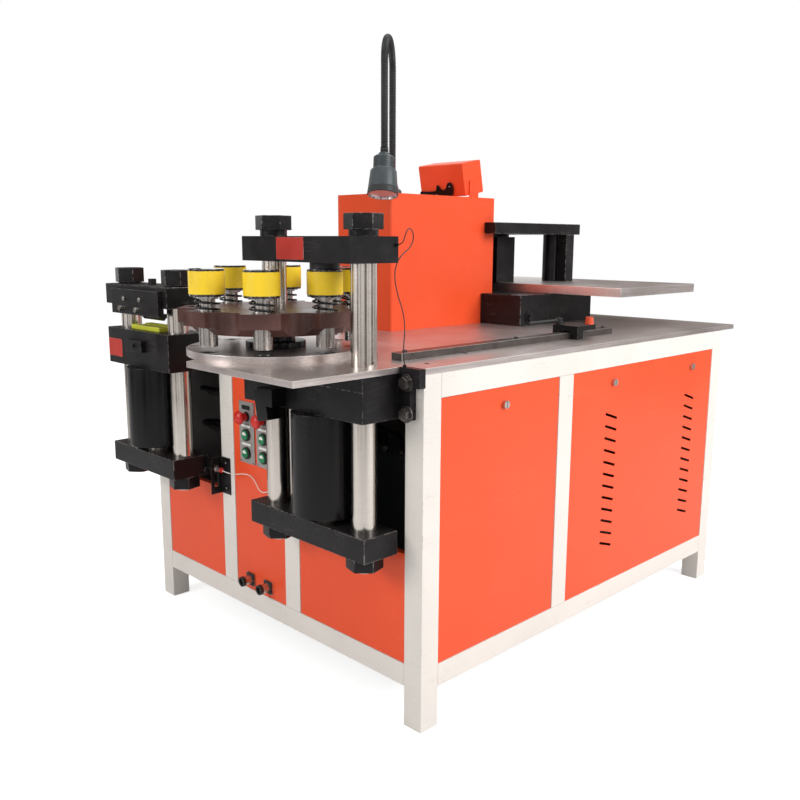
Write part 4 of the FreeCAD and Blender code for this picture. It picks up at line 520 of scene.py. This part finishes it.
dress("cabinet_frame", "cream powder coat", 2.0)
for door in ("front_door_narrow", "front_door_wide"):
    dress(door, "orange enamel", 1.6, inside="grey primer")
dress("cabinet_panels", panel_finish, 1.4, inside="light grey primer")
for number in (1, 2, 3):
    dress(f"door_lock_{number}", "zinc plate", 0.6)
dress("table_plates", "ground steel plate", 1.0)
dress("press_mounts", by_size("z", 100, "blackened steel", "dark tool steel"), 1.2)
dress("press_block", by_size("x", 60, "blackened steel", "black enamel"), 1.5)
dress("press_beams", beam_finish, 2.0)
dress("press_columns", column_finish, 1.6)
dress("press_ram", "hard chrome", 1.0)
dress("turret_die_disc", by_size("x", 300, "ground steel plate", "black enamel"), 1.2)
dress("turret_disc", "maroon brown enamel", 2.0)
dress("turret_bushes", bush_finish, 0.8)
for number in range(1, 8):
    dress(f"punch_{number}", punch_finish, 1.4)
dress("forming_block", "blackened steel", 1.5)
dress("forming_beams", beam_finish, 2.0)
dress("forming_columns", column_finish, 1.4)
dress("forming_ram", "hard chrome", 1.0)
dress("forming_tool", forming_tool_finish, 1.0)
dress("forming_die", by_size("y", 150, "yellow green strip", "blackened steel"), 0.8)
dress("operator_plates", operator_plate_finish, 0.5)
dress("limit_switch", by_size("z", 60, "blackened steel", "zinc plate"), 0.4)
dress("tower_cover", "orange enamel", 1.6)
dress("control_box", "orange enamel", 1.4)
dress("bending_base", by_size("x", 450, "ground steel plate", "blackened steel"), 1.6)
dress("bending_head", "blackened steel", 2.0)
dress("bending_ram", "blackened steel", 1.6)
dress("hydraulic_cylinders", "black enamel", 1.8)
dress("fence_bar", "dark tool steel", 0.8)
dress("fence_stop", "blackened steel", 0.8)
dress("stop_knob", "orange red knob", 0.8)
dress("clamp_lever", "black plastic", 0.8)
dress("power_pack", power_pack_finish, 2.0)
dress("valve_block", valve_finish, 0.8)


# Shapes grown by Geometry Nodes


def new_grower(name, inputs):
    """A geometry tree that takes these inputs and a material."""
    return new_tree("GeometryNodeTree", name, {**inputs, "Material": "Material"}, ("Geometry",), "Geometry")


def finish_tree(tree, geometry, given, out):
    """Ends a tree in Realize Instances and Set Material."""
    real = fed(tree, "GeometryNodeRealizeInstances", {0: geometry})
    painted = fed(tree, "GeometryNodeSetMaterial", {"Geometry": real, "Material": given["Material"]})
    wire(tree, painted, out["Geometry"])
    return tree


def grow(name, tree, body, slot, replaced=(), stand=None, **values):
    """Runs a tree with these values and keeps the result as one plain mesh piece."""
    holder = new_object(name + "_source", bpy.data.meshes.new("empty"))
    modifier = holder.modifiers.new("Grow", "NODES")
    modifier.node_group = tree
    for item in tree.interface.items_tree:
        key = item.name.lower().replace(" ", "_")
        if item.in_out == "INPUT" and key in values:
            modifier[item.identifier] = values[key]
    bpy.context.view_layer.update()
    evaluated = holder.evaluated_get(bpy.context.evaluated_depsgraph_get())
    mesh = bpy.data.meshes.new_from_object(evaluated)
    mesh.name = name
    bpy.data.objects.remove(holder)
    if stand is not None:
        mesh.transform(stand)
    return settle(name, mesh, body, replaced)


def make_coil_tree():
    tree, given, out = new_grower("Coil spring", {
        "Turns": 4.0, "Coil radius": 0.029, "Height": 0.03, "Wire radius": 0.0025})
    path = fed(tree, "GeometryNodeCurveSpiral", {
        "Rotations": given["Turns"], "Start Radius": given["Coil radius"],
        "End Radius": given["Coil radius"], "Height": given["Height"]}, Resolution=48)
    section = fed(tree, "GeometryNodeCurvePrimitiveCircle", {"Radius": given["Wire radius"]}, Resolution=16)
    swept = fed(tree, "GeometryNodeCurveToMesh", {"Curve": path, "Profile Curve": section}, Fill_Caps=True)
    return finish_tree(tree, swept, given, out)


def make_ribbed_neck_tree():
    """A bent neck of wound strip: rise, half turn and fall, with a rib for each turn of the strip."""
    tree, given, out = new_grower("Ribbed neck", {
        "Start height": 1.39, "Bend height": 1.72, "End height": 1.47, "Span": 0.164,
        "Neck radius": 0.0112, "Rib pitch": 0.0042, "Rib depth": 0.0016})
    half = fed(tree, "GeometryNodeCurveArc", {
        "Radius": maths(tree, "MULTIPLY", given["Span"], 0.5), "Start Angle": math.pi,
        "Sweep Angle": -math.pi}, mode="RADIUS", Resolution=64)
    lift = fed(tree, "ShaderNodeCombineXYZ", {"Z": given["Bend height"]})
    curves = [fed(tree, "GeometryNodeTransform", {"Geometry": half, "Translation": lift},
                  Rotation=(math.pi / 2, 0, 0))]
    for side, height in ((-0.5, "End height"), (0.5, "Start height")):
        across = maths(tree, "MULTIPLY", given["Span"], side)
        curves.append(fed(tree, "GeometryNodeCurvePrimitiveLine", {
            end: fed(tree, "ShaderNodeCombineXYZ", {"X": across, "Z": given[level]})
            for end, level in (("Start", height), ("End", "Bend height"))}))
    ribs = add(tree, "GeometryNodeJoinGeometry")
    for curve in curves:
        fine = maths(tree, "DIVIDE", given["Rib pitch"], 4.0)
        dense = fed(tree, "GeometryNodeResampleCurve", {"Curve": curve, "Length": fine}, mode="LENGTH")
        along = add(tree, "GeometryNodeSplineParameter").outputs["Length"]
        wave = maths(tree, "PINGPONG", maths(tree, "DIVIDE", along, given["Rib pitch"]), 0.5)
        depth = maths(tree, "MULTIPLY", wave, given["Rib depth"])
        width = maths(tree, "SUBTRACT", given["Neck radius"], depth)
        ribbed = fed(tree, "GeometryNodeSetCurveRadius", {"Curve": dense, "Radius": width})
        section = fed(tree, "GeometryNodeCurvePrimitiveCircle", {}, Resolution=24, Radius=1.0)
        swept = fed(tree, "GeometryNodeCurveToMesh", {
            "Curve": ribbed, "Profile Curve": section, "Scale": width}, Fill_Caps=True)
        wire(tree, swept, ribs.inputs[0])
    return finish_tree(tree, ribs.outputs[0], given, out)


coil_tree = make_coil_tree()
neck_tree = make_ribbed_neck_tree()

# Return springs, one round each punch, standing on the turret's disc at one fixed height; the real ones
# flatten as their punch goes down
PUNCH_STATIONS = (270, 315, 0, 45, 90, 180, 225)
TURRET_X, TURRET_Y, STATION_RADIUS = -72, 462, 200
SPRING_LOW, SPRING_HIGH, DISC_TOP = 1030.9, 1058.1, 1028.0
for number, station in enumerate(PUNCH_STATIONS, start=1):
    turned = math.radians(station)
    foot = at(TURRET_X + STATION_RADIUS * math.cos(turned), TURRET_Y + STATION_RADIUS * math.sin(turned),
              SPRING_LOW)
    spring = grow(f"punch_spring_{number}_coil", coil_tree, "turret", "spring_steel",
                  (f"punch_spring_{number}",), Matrix.Translation(foot), turns=2.0, coil_radius=0.029,
                  height=(SPRING_HIGH - SPRING_LOW) / 1000, wire_radius=0.0025,
                  material=finishes["black spring steel"])
    spring.modifiers.clear()
    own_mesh(spring)


def turned_profile(name, outline, centre, axis, material, body, replaced=(), steps=64):
    """A closed shape turned from an outline of (radius, distance along the axis) in mm.

    material is a finish's name, or a function of a face's middle distance in mm that gives one.
    """
    shape = bmesh.new()
    rings = []
    for radius, along in outline:
        if radius < 1e-6:
            rings.append([shape.verts.new((0, 0, along / 1000))])
            continue
        turns = [math.tau * step / steps for step in range(steps)]
        rings.append([shape.verts.new((radius / 1000 * math.cos(turn), radius / 1000 * math.sin(turn),
                                       along / 1000)) for turn in turns])
    for first, second in zip(rings, rings[1:]):
        for step in range(steps):
            after = (step + 1) % steps
            if len(first) == 1 and len(second) == 1:
                continue
            if len(first) == 1:
                shape.faces.new((first[0], second[after], second[step]))
            elif len(second) == 1:
                shape.faces.new((first[step], first[after], second[0]))
            else:
                shape.faces.new((first[step], first[after], second[after], second[step]))
    bmesh.ops.recalc_face_normals(shape, faces=shape.faces)
    names = [material] if isinstance(material, str) else []
    if not names:
        for face in shape.faces:
            chosen = material(face.calc_center_median())
            if chosen not in names:
                names.append(chosen)
            face.material_index = names.index(chosen)
    direction = Vector(axis).normalized()
    turn = Vector((0, 0, 1)).rotation_difference(direction).to_matrix().to_4x4()
    shape.transform(Matrix.Translation(centre) @ turn)
    return settle(name, mesh_of(shape, name, names), body, replaced)


# Mushroom heads and push buttons on the operator plates
MUSHROOM = [(12, 0), (12, 14), (15, 15.6), (19, 16.2), (20, 17.5), (20, 20), (18.6, 23.4),
            (15.5, 26.4), (10, 28.8), (4, 29.9), (0, 30)]
for number, y in ((1, 625), (2, 708)):
    box_low, box_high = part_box(f"emergency_stop_{number}")
    inner = (box_high[0] - box_low[0]) * 1000 - MUSHROOM[-1][1]
    outline = [(0, 0), (6, 0), (6, inner)] + [(radius, along + inner) for radius, along in MUSHROOM]
    turned_profile(f"emergency_stop_{number}_head", outline, Vector((box_high[0], at(0, y, 0).y,
                   (box_low[2] + box_high[2]) / 2)), (-1, 0, 0), "red button plastic",
                   f"stop_button_{number}", (f"emergency_stop_{number}",))
for number in range(1, 5):
    box_low, box_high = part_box(f"green_button_{number}")
    middle = (Vector(box_low) + Vector(box_high)) / 2
    length = (box_high[0] - box_low[0]) * 1000
    radius = (box_high[1] - box_low[1]) * 500
    outline = [(0, 0), (6, 0), (6, length - 8), (radius, length - 8), (radius, length - 2.6),
               (radius - 0.7, length - 1.2), (radius - 2, length - 0.5), (radius - 4.5, length - 0.4),
               (radius - 5.5, length - 0.9), (0, length - 0.6)]

    def halves(centre, radius=radius):
        """One half of the face is the white legend plate, left bare."""
        face = math.hypot(centre.x, centre.y) * 1000 < radius - 4.6
        return "white button plastic" if face and centre.x > 0.0008 else "green button plastic"

    turned_profile(f"green_button_{number}_cap", outline, Vector((box_high[0], middle.y, middle.z)),
                   (-1, 0, 0), halves, f"push_button_{number}",
                   (f"green_button_{number}",))

# Work lamp: cast base, ribbed bent neck, and a finned head that leans away from the tower
LAMP_TURN = math.radians(37.5)
LAMP_LEAN = math.radians(15)
LAMP_BASE = at(590, 715, 1343)
LAMP_SPAN = 0.164
KNUCKLE_HEIGHT = 1.465
head_place = LAMP_BASE - Vector((math.cos(LAMP_TURN), math.sin(LAMP_TURN), 0)) * LAMP_SPAN
middle_place = (LAMP_BASE + head_place) / 2
neck_turn = Matrix.Translation((middle_place.x, middle_place.y, 0)) @ Matrix.Rotation(LAMP_TURN, 4, "Z")
grow("lamp_neck_ribbed", neck_tree, "frame", "black_oxide", ("lamp_neck",), neck_turn,
     start_height=1.384, bend_height=1.720, end_height=1.4765, span=LAMP_SPAN, neck_radius=0.0115,
     rib_pitch=0.0046, rib_depth=0.0034, material=finishes["black plastic"])
turned_profile("lamp_base_casting", [(0, 0), (30, 0), (30, 9), (28.6, 12.5), (25, 15.6), (22, 17),
               (20, 20), (18, 27), (16.5, 34), (15.4, 40), (15, 44), (13.6, 46), (0, 46)],
               LAMP_BASE, (0, 0, 1), "lamp body grey", "frame", ("lamp_neck",))


FIRST_FIN, LAST_FIN, FIN_PITCH = -27.0, -54, 5.8


def lamp_outline():
    """Stem, collar, finned body and flared shade, down to the rim and back up inside, from the knuckle."""
    points = [(0, 8), (5, 7.4), (7.6, 4.4), (8.8, -2), (9, -10), (15, -10), (17.5, -11.5), (17.5, -18.6),
              (22, -19.6), (29, -21.4), (32, -24)]
    level = FIRST_FIN
    while level > LAST_FIN:
        points += [(32, level), (32, level - 2.6), (30.2, level - 3.2), (30.2, level - 5.2)]
        level -= FIN_PITCH
    points += [(32, -57), (32, -61), (33.5, -62.2), (38, -63.4), (40, -66), (41.2, -80), (44.6, -116),
               (43.8, -118), (45.2, -120), (46.6, -134), (47.4, -137.4), (46.6, -139), (45, -139),
               (44.5, -133), (43.6, -123), (39, -113), (30, -99), (18, -93), (0, -92)]
    return points


# The shade in metres below the knuckle: its outside radius at its top, and how it widens downward
SHADE_TOP, SHADE_RADIUS, SHADE_FLARE, SHADE_WALL = -0.080, 0.0412, 0.0944, 0.0012
REFLECTOR_TOP, REFLECTOR_END, RIM_TOP = -0.0915, -0.1385, -0.119


def lamp_head_finish(centre):
    """A mirror inside the shade, black plastic on its rim and grey elsewhere."""
    outside = SHADE_RADIUS - (centre.z - SHADE_TOP) * SHADE_FLARE
    within = math.hypot(centre.x, centre.y) < outside - SHADE_WALL
    if within and REFLECTOR_END < centre.z < REFLECTOR_TOP:
        return "lamp reflector"
    return "black plastic" if centre.z < RIM_TOP else "lamp body grey"


lamp_down = Vector((math.cos(LAMP_TURN) * math.sin(LAMP_LEAN), math.sin(LAMP_TURN) * math.sin(LAMP_LEAN),
                    math.cos(LAMP_LEAN)))
knuckle_place = Vector((head_place.x, head_place.y, KNUCKLE_HEIGHT))
turned_profile("lamp_head_shell", lamp_outline(), knuckle_place, lamp_down, lamp_head_finish, "lamp",
               ("lamp_head",), 72)
turned_profile("lamp_lens", [(0, -132.6), (20, -132.9), (38, -133), (44.3, -133), (44.0, -129),
               (20, -129), (0, -129)], knuckle_place, lamp_down, "pink tinted lens", "lamp",
               ("lamp_head",), 72)
knuckle_side = Vector((-math.sin(LAMP_TURN), math.cos(LAMP_TURN), 0))
turned_profile("lamp_knuckle_pin", [(0, -11), (9.6, -11), (11, -9.6), (11, 9.6), (9.6, 11), (0, 11)],
               knuckle_place, knuckle_side, "black plastic", "lamp", ("lamp_head",), 40)

# Small pieces that the solids leave out


def plate_piece(name, outline, thick, origin, along, upward, material, body, width=0.4):
    """A flat plate: an outline in mm on the plane of along and upward, thickened to its normal."""
    along = Vector(along).normalized()
    upward = Vector(upward).normalized()
    normal = along.cross(upward)
    shape = bmesh.new()
    shape.faces.layers.float.new("edge")
    low = [shape.verts.new(origin + (along * x + upward * y) / 1000) for x, y in outline]
    high = [shape.verts.new(vert.co + normal * thick / 1000) for vert in low]
    count = len(outline)
    shape.faces.new(list(reversed(low)))
    shape.faces.new(high)
    for index in range(count):
        after = (index + 1) % count
        shape.faces.new((low[index], low[after], high[after], high[index]))
    bmesh.ops.recalc_face_normals(shape, faces=shape.faces)
    round_edges(shape, width / 1000)
    return settle(name, mesh_of(shape, name, [material]), body)


def rounded_outline(wide, high, corner, steps=5):
    """The outline of a plate with rounded corners, from its lower left corner."""
    points = []
    for middle_x, middle_y, start in ((wide - corner, corner, -90), (wide - corner, high - corner, 0),
                                      (corner, high - corner, 90), (corner, corner, 180)):
        for step in range(steps + 1):
            angle = math.radians(start + 90 * step / steps)
            points.append((middle_x + corner * math.cos(angle), middle_y + corner * math.sin(angle)))
    return points


LEFTWARD, UPWARD = (0, -1, 0), (0, 0, 1)
plate_piece("press_plate_bare", rounded_outline(104, 52, 3), 1.0, at(-145.02, 353, 1151.5), LEFTWARD,
            UPWARD, "bare red plate", "press_frame")
plate_piece("forming_plate_bare", rounded_outline(86, 55, 3), 1.0, at(-150.02, 1234, 838), LEFTWARD,
            UPWARD, "bare red plate", "frame")
OPERATOR_LOW, OPERATOR_PLATES = 555, (589, 672)
for number, y in enumerate(OPERATOR_PLATES, start=1):
    for name, rise, wide, high in (("top", 160, 38, 12), ("upper", 108, 44, 7), ("lower", 54, 44, 7)):
        plate_piece(f"legend_{number}_{name}", rounded_outline(wide, high, 1.5), 0.5,
                    at(-4.02, y + 36 + wide / 2, OPERATOR_LOW + rise), LEFTWARD, UPWARD,
                    "black enamel" if name == "top" else "white button plastic", "frame",
                    0.15)

# Latch arm on the side of the control box, with its two rivets
BOX_TILT = math.radians(-11)
BOX_UP = Vector((math.sin(BOX_TILT), 0, math.cos(BOX_TILT)))
BOX_OUT = Vector((BOX_UP.z, 0, -BOX_UP.x))
BOX_X, BOX_NEAR_Y, BOX_FAR_Y, BOX_Z = 919.4, 704.5, 898, 1348.9
box_foot = at(BOX_X, BOX_FAR_Y, BOX_Z) + BOX_OUT * -0.0046
latch = [(6, 3), (150, 3), (158, 12), (160, 30), (157, 43), (150, 50), (141, 50), (134, 43), (129, 33),
         (120, 26), (108, 25), (98, 32), (90, 44), (84, 40), (82, 30), (76, 23), (50, 22), (6, 25),
         (0, 19), (0, 9)]
plate_piece("box_latch_arm", latch, 4.0, box_foot, LEFTWARD, BOX_UP, "black enamel", "screen_box",
            0.8)
for number, (along, rise) in enumerate(((146, 36), (80, 9)), start=1):
    middle = box_foot + Vector((0, -along, 0)) / 1000 + BOX_UP * rise / 1000
    turned_profile(f"box_latch_rivet_{number}", [(0, -1), (5, -1), (5, 2.4), (4, 3.4), (2, 3.9), (0, 4)],
                   middle - BOX_OUT * 0.0002, -BOX_OUT,
                   "zinc plate", "screen_box", (), 24)

# Screen in the recess on the far side of the control box
screen_corner = at(BOX_X, BOX_NEAR_Y, BOX_Z) + BOX_OUT * 0.09502 + BOX_UP * 0.0145
plate_piece("box_screen_frame", rounded_outline(179, 83, 2), 1.0, screen_corner, (0, 1, 0), BOX_UP,
            "black plastic", "screen_box", 0.3)
plate_piece("box_screen_glass", rounded_outline(151, 63, 2), 0.5,
            screen_corner + BOX_OUT * 0.001 + Vector((0, 0.014, 0)) + BOX_UP * 0.010, (0, 1, 0), BOX_UP,
            "dark screen glass", "screen_box", 0.2)

# Black flange faces and end rings of the two cable connectors
for number, y in ((1, 708), (2, 621)):
    plate_piece(f"connector_{number}_flange_face", rounded_outline(37, 37, 4), 0.8,
                at(-4.05, y + 18.5, 179.5), LEFTWARD, UPWARD, "black plastic", "frame", 0.3)
    turned_profile(f"connector_{number}_end_ring", [(13.2, 0), (14.5, 0), (15, 0.5), (15, 8.6), (14.4, 9.4),
                   (10.6, 9.4), (9.9, 8.6), (9.9, 0), (13.2, 0)], at(-27.2, y, 198), (-1, 0, 0),
                   "black plastic", "frame", (), 48)

# Red collar of the round sensor
turned_profile("sensor_red_ring", [(0, 0), (7.2, 0), (7.6, 0.6), (7.6, 5), (7.0, 5.6), (2.2, 5.8), (0, 5.8)],
               at(-21.5, 814, 516), (0, 1, 0), "red button plastic", "frame", (), 32)


def make_socket_screw_tree():
    """Cap screws with a six-sided socket, one at each point of the places, all along one axis."""
    tree, given, out = new_grower("Socket screws", {
        "Places": "Object", "Turn": (0, 0, 0), "Head radius": 0.006, "Head height": 0.004})
    radius, height = given["Head radius"], given["Head height"]
    head = fed(tree, "GeometryNodeMeshCylinder", {"Radius": radius, "Depth": height}, Vertices=40)
    socket = fed(tree, "GeometryNodeMeshCylinder", {
        "Radius": maths(tree, "MULTIPLY", radius, 0.5), "Depth": maths(tree, "MULTIPLY", height, 1.2)},
        Vertices=6)
    lift = fed(tree, "ShaderNodeCombineXYZ", {"Z": maths(tree, "MULTIPLY", height, 0.4)})
    raised = fed(tree, "GeometryNodeTransform", {"Geometry": socket, "Translation": lift})
    hollow = fed(tree, "GeometryNodeMeshBoolean", {"Mesh 1": head, "Mesh 2": raised},
                 operation="DIFFERENCE")
    held = add(tree, "GeometryNodeObjectInfo")
    wire(tree, given["Places"], held.inputs["Object"])
    spots = fed(tree, "GeometryNodeMeshToPoints", {"Mesh": held.outputs["Geometry"]})
    placed = fed(tree, "GeometryNodeInstanceOnPoints", {
        "Points": spots, "Instance": hollow, "Rotation": given["Turn"]})
    return finish_tree(tree, placed, given, out)


screw_tree = make_socket_screw_tree()
FACING = {"-X": (0, -math.pi / 2, 0), "Z": (0, 0, 0)}


def screws(name, places, facing, radius, height, material):
    """Cap screws at machine places, their heads facing one way."""
    mesh = bpy.data.meshes.new(name + "_places")
    mesh.from_pydata([at(*place) for place in places], [], [])
    holder = new_object(name + "_places", mesh)
    grow(name, screw_tree, "frame", "chrome", places=holder, turn=FACING[facing],
         head_radius=radius / 1000, head_height=height / 1000, material=finishes[material])
    bpy.data.objects.remove(holder)


screws("plate_screws", [(-4.6, y + across, OPERATOR_LOW + rise) for y in OPERATOR_PLATES
                        for across in (5, 67) for rise in (5, 178)], "-X", 2.2, 1.6, "zinc plate")
screws("table_screws", [(277, 116, 910.1), (65, 53, 910.1)], "Z", 6.0, 1.6, "dark tool steel")

# Wires, on the routes of the part's source
BEAM_WIRE = ((-6, 80, 1187), (-6, 64, 1190), (-5, 58, 1210), (4, 57, 1226), (20, 58, 1218),
             (24, 60, 1198), (12, 61, 1179), (-8, 62, 1168), (-26, 64, 1148), (-34, 64, 1118),
             (-26, 61, 1076), (-8, 59, 1034), (-6, 56, 992), (-14, 53, 956), (-16, 50, 932),
             (-15, 48, 916.3))
SENSOR_WIRE = ((-21.5, 821.2, 516), (-21, 806, 515), (-15, 786, 511), (-10, 758, 513),
               (-8, 724, 521), (-7, 694, 524), (-7, 672, 515), (-8, 657, 502), (-8, 645, 488),
               (-8, 626, 484), (-7, 603, 492), (-6, 580, 503), (-6, 564, 506), (-6, 552, 506))


def run_wire(name, route, material):
    curve = bpy.data.curves.new(name, "CURVE")
    curve.dimensions = "3D"
    curve.bevel_depth = 0.0013
    curve.bevel_resolution = 6
    curve.resolution_u = 12
    curve.use_fill_caps = True
    spline = curve.splines.new("NURBS")
    spline.points.add(len(route) - 1)
    for point, place in zip(spline.points, route):
        point.co = (*at(*place), 1.0)
    spline.use_endpoint_u = True
    spline.order_u = 3
    curve.materials.append(finishes[material])
    return new_object(name, curve)


beam_wire = run_wire("beam_wire_run", BEAM_WIRE, "black cable")
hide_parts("beam_wire")
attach(beam_wire, "frame")
sensor_wire = run_wire("sensor_wire_run", SENSOR_WIRE, "white cable")
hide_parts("sensor_wire")
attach(sensor_wire, "frame")

# Camera of the photograph
camera = new_object("camera", bpy.data.cameras.new("camera"))
camera.data.sensor_width = 36.0
camera.data.lens = 38.886
camera.data.clip_end = 60.0
yaw, pitch, roll = (math.radians(angle) for angle in (-44.634, -10.475, 0.253))
forward = Vector((-math.sin(yaw) * math.cos(pitch), math.cos(yaw) * math.cos(pitch), math.sin(pitch)))
right = Vector((math.cos(yaw), math.sin(yaw), 0.0))
upward = right.cross(forward)
rolled_right = right * math.cos(roll) + upward * math.sin(roll)
rolled_up = upward * math.cos(roll) - right * math.sin(roll)
camera.matrix_world = Matrix((rolled_right, rolled_up, -forward)).transposed().to_4x4()
camera.location = at(-1405.2, -1345.6, 1197.3)
bpy.context.scene.camera = camera


def sheet(name, corners, material):
    """One flat face of the studio."""
    mesh = bpy.data.meshes.new(name)
    mesh.from_pydata(corners, [], [(0, 1, 2, 3)])
    mesh.materials.append(material)
    return new_object(name, mesh)


# Pale floor, which keeps the machine's shadow
paint, tree, ground = principled("white studio floor", Base_Color=(0.86, 0.86, 0.86, 1), Roughness=0.7,
                                 Specular_IOR_Level=0.1, Emission_Color=(1, 1, 1, 1))
seen = add(tree, "ShaderNodeLightPath").outputs["Is Camera Ray"]
wire(tree, maths(tree, "MULTIPLY", seen, 0.66), ground["Emission Strength"])
floor = sheet("studio_floor", [(-9, -9, 0), (9, -9, 0), (9, 9, 0), (-9, 9, 0)], paint)

# Dark boards round the machine that only show in what shines: angle, distance and width
BOARDS = ((182, 4.2, 0.9), (203, 4.4, 0.35), (238, 4.4, 1.3), (262, 4.4, 0.35), (291, 4.4, 1.5),
          (330, 4.6, 1.0), (20, 4.8, 1.6), (75, 4.8, 1.4), (130, 4.8, 1.6))
BOARD_RISE = Vector((0, 0, 3.4))
board_paint = principled("dark studio board", Base_Color=(0.11, 0.085, 0.075, 1), Roughness=0.9,
                         Specular_IOR_Level=0.0)[0]
for number, (angle, away, wide) in enumerate(BOARDS, start=1):
    around = math.radians(angle)
    foot = Vector((away * math.cos(around), away * math.sin(around), 0.02))
    half = Vector((math.cos(around + math.pi / 2), math.sin(around + math.pi / 2), 0)) * wide / 2
    board = sheet(f"dark_board_{number}", [foot - half, foot + half, foot + half + BOARD_RISE,
                                           foot - half + BOARD_RISE], board_paint)
    board.visible_camera = False
    board.visible_diffuse = False
    board.visible_shadow = False

# Soft light: an even white room, and broad lamps over the front and the left end
scene = bpy.context.scene
world = bpy.data.worlds.new("white room")
world.use_nodes = True
scene.world = world
tree = world.node_tree
room = tree.nodes["Background"]
room.inputs["Color"].default_value = (1, 1, 1, 1)
seen = add(tree, "ShaderNodeLightPath").outputs
shown = maths(tree, "MAXIMUM", seen["Is Camera Ray"],
              maths(tree, "MAXIMUM", seen["Is Glossy Ray"], seen["Is Transmission Ray"]))
wire(tree, spread(tree, shown, 0.0, 1.0, 0.45, 1.0), room.inputs["Strength"])


def lamp_panel(name, place, target, wide, high, watts):
    light = bpy.data.lights.new(name, "AREA")
    light.shape = "RECTANGLE"
    light.size = wide
    light.size_y = high
    light.energy = watts
    lamp = new_object(name, light)
    lamp.location = place
    lamp.rotation_euler = (Vector(target) - Vector(place)).to_track_quat("-Z", "Y").to_euler()


lamp_panel("front_panel", (1.0, -4.2, 3.0), (0.2, 0.0, 0.7), 3.2, 2.4, 185.0)
lamp_panel("end_panel", (-4.2, 0.6, 2.2), (0.0, 0.0, 0.9), 2.0, 1.6, 62.0)
lamp_panel("ceiling_panel", (0.0, 0.0, 4.6), (0.0, 0.0, 0.9), 3.0, 3.0, 60.0)

scene.view_settings.view_transform = "Standard"
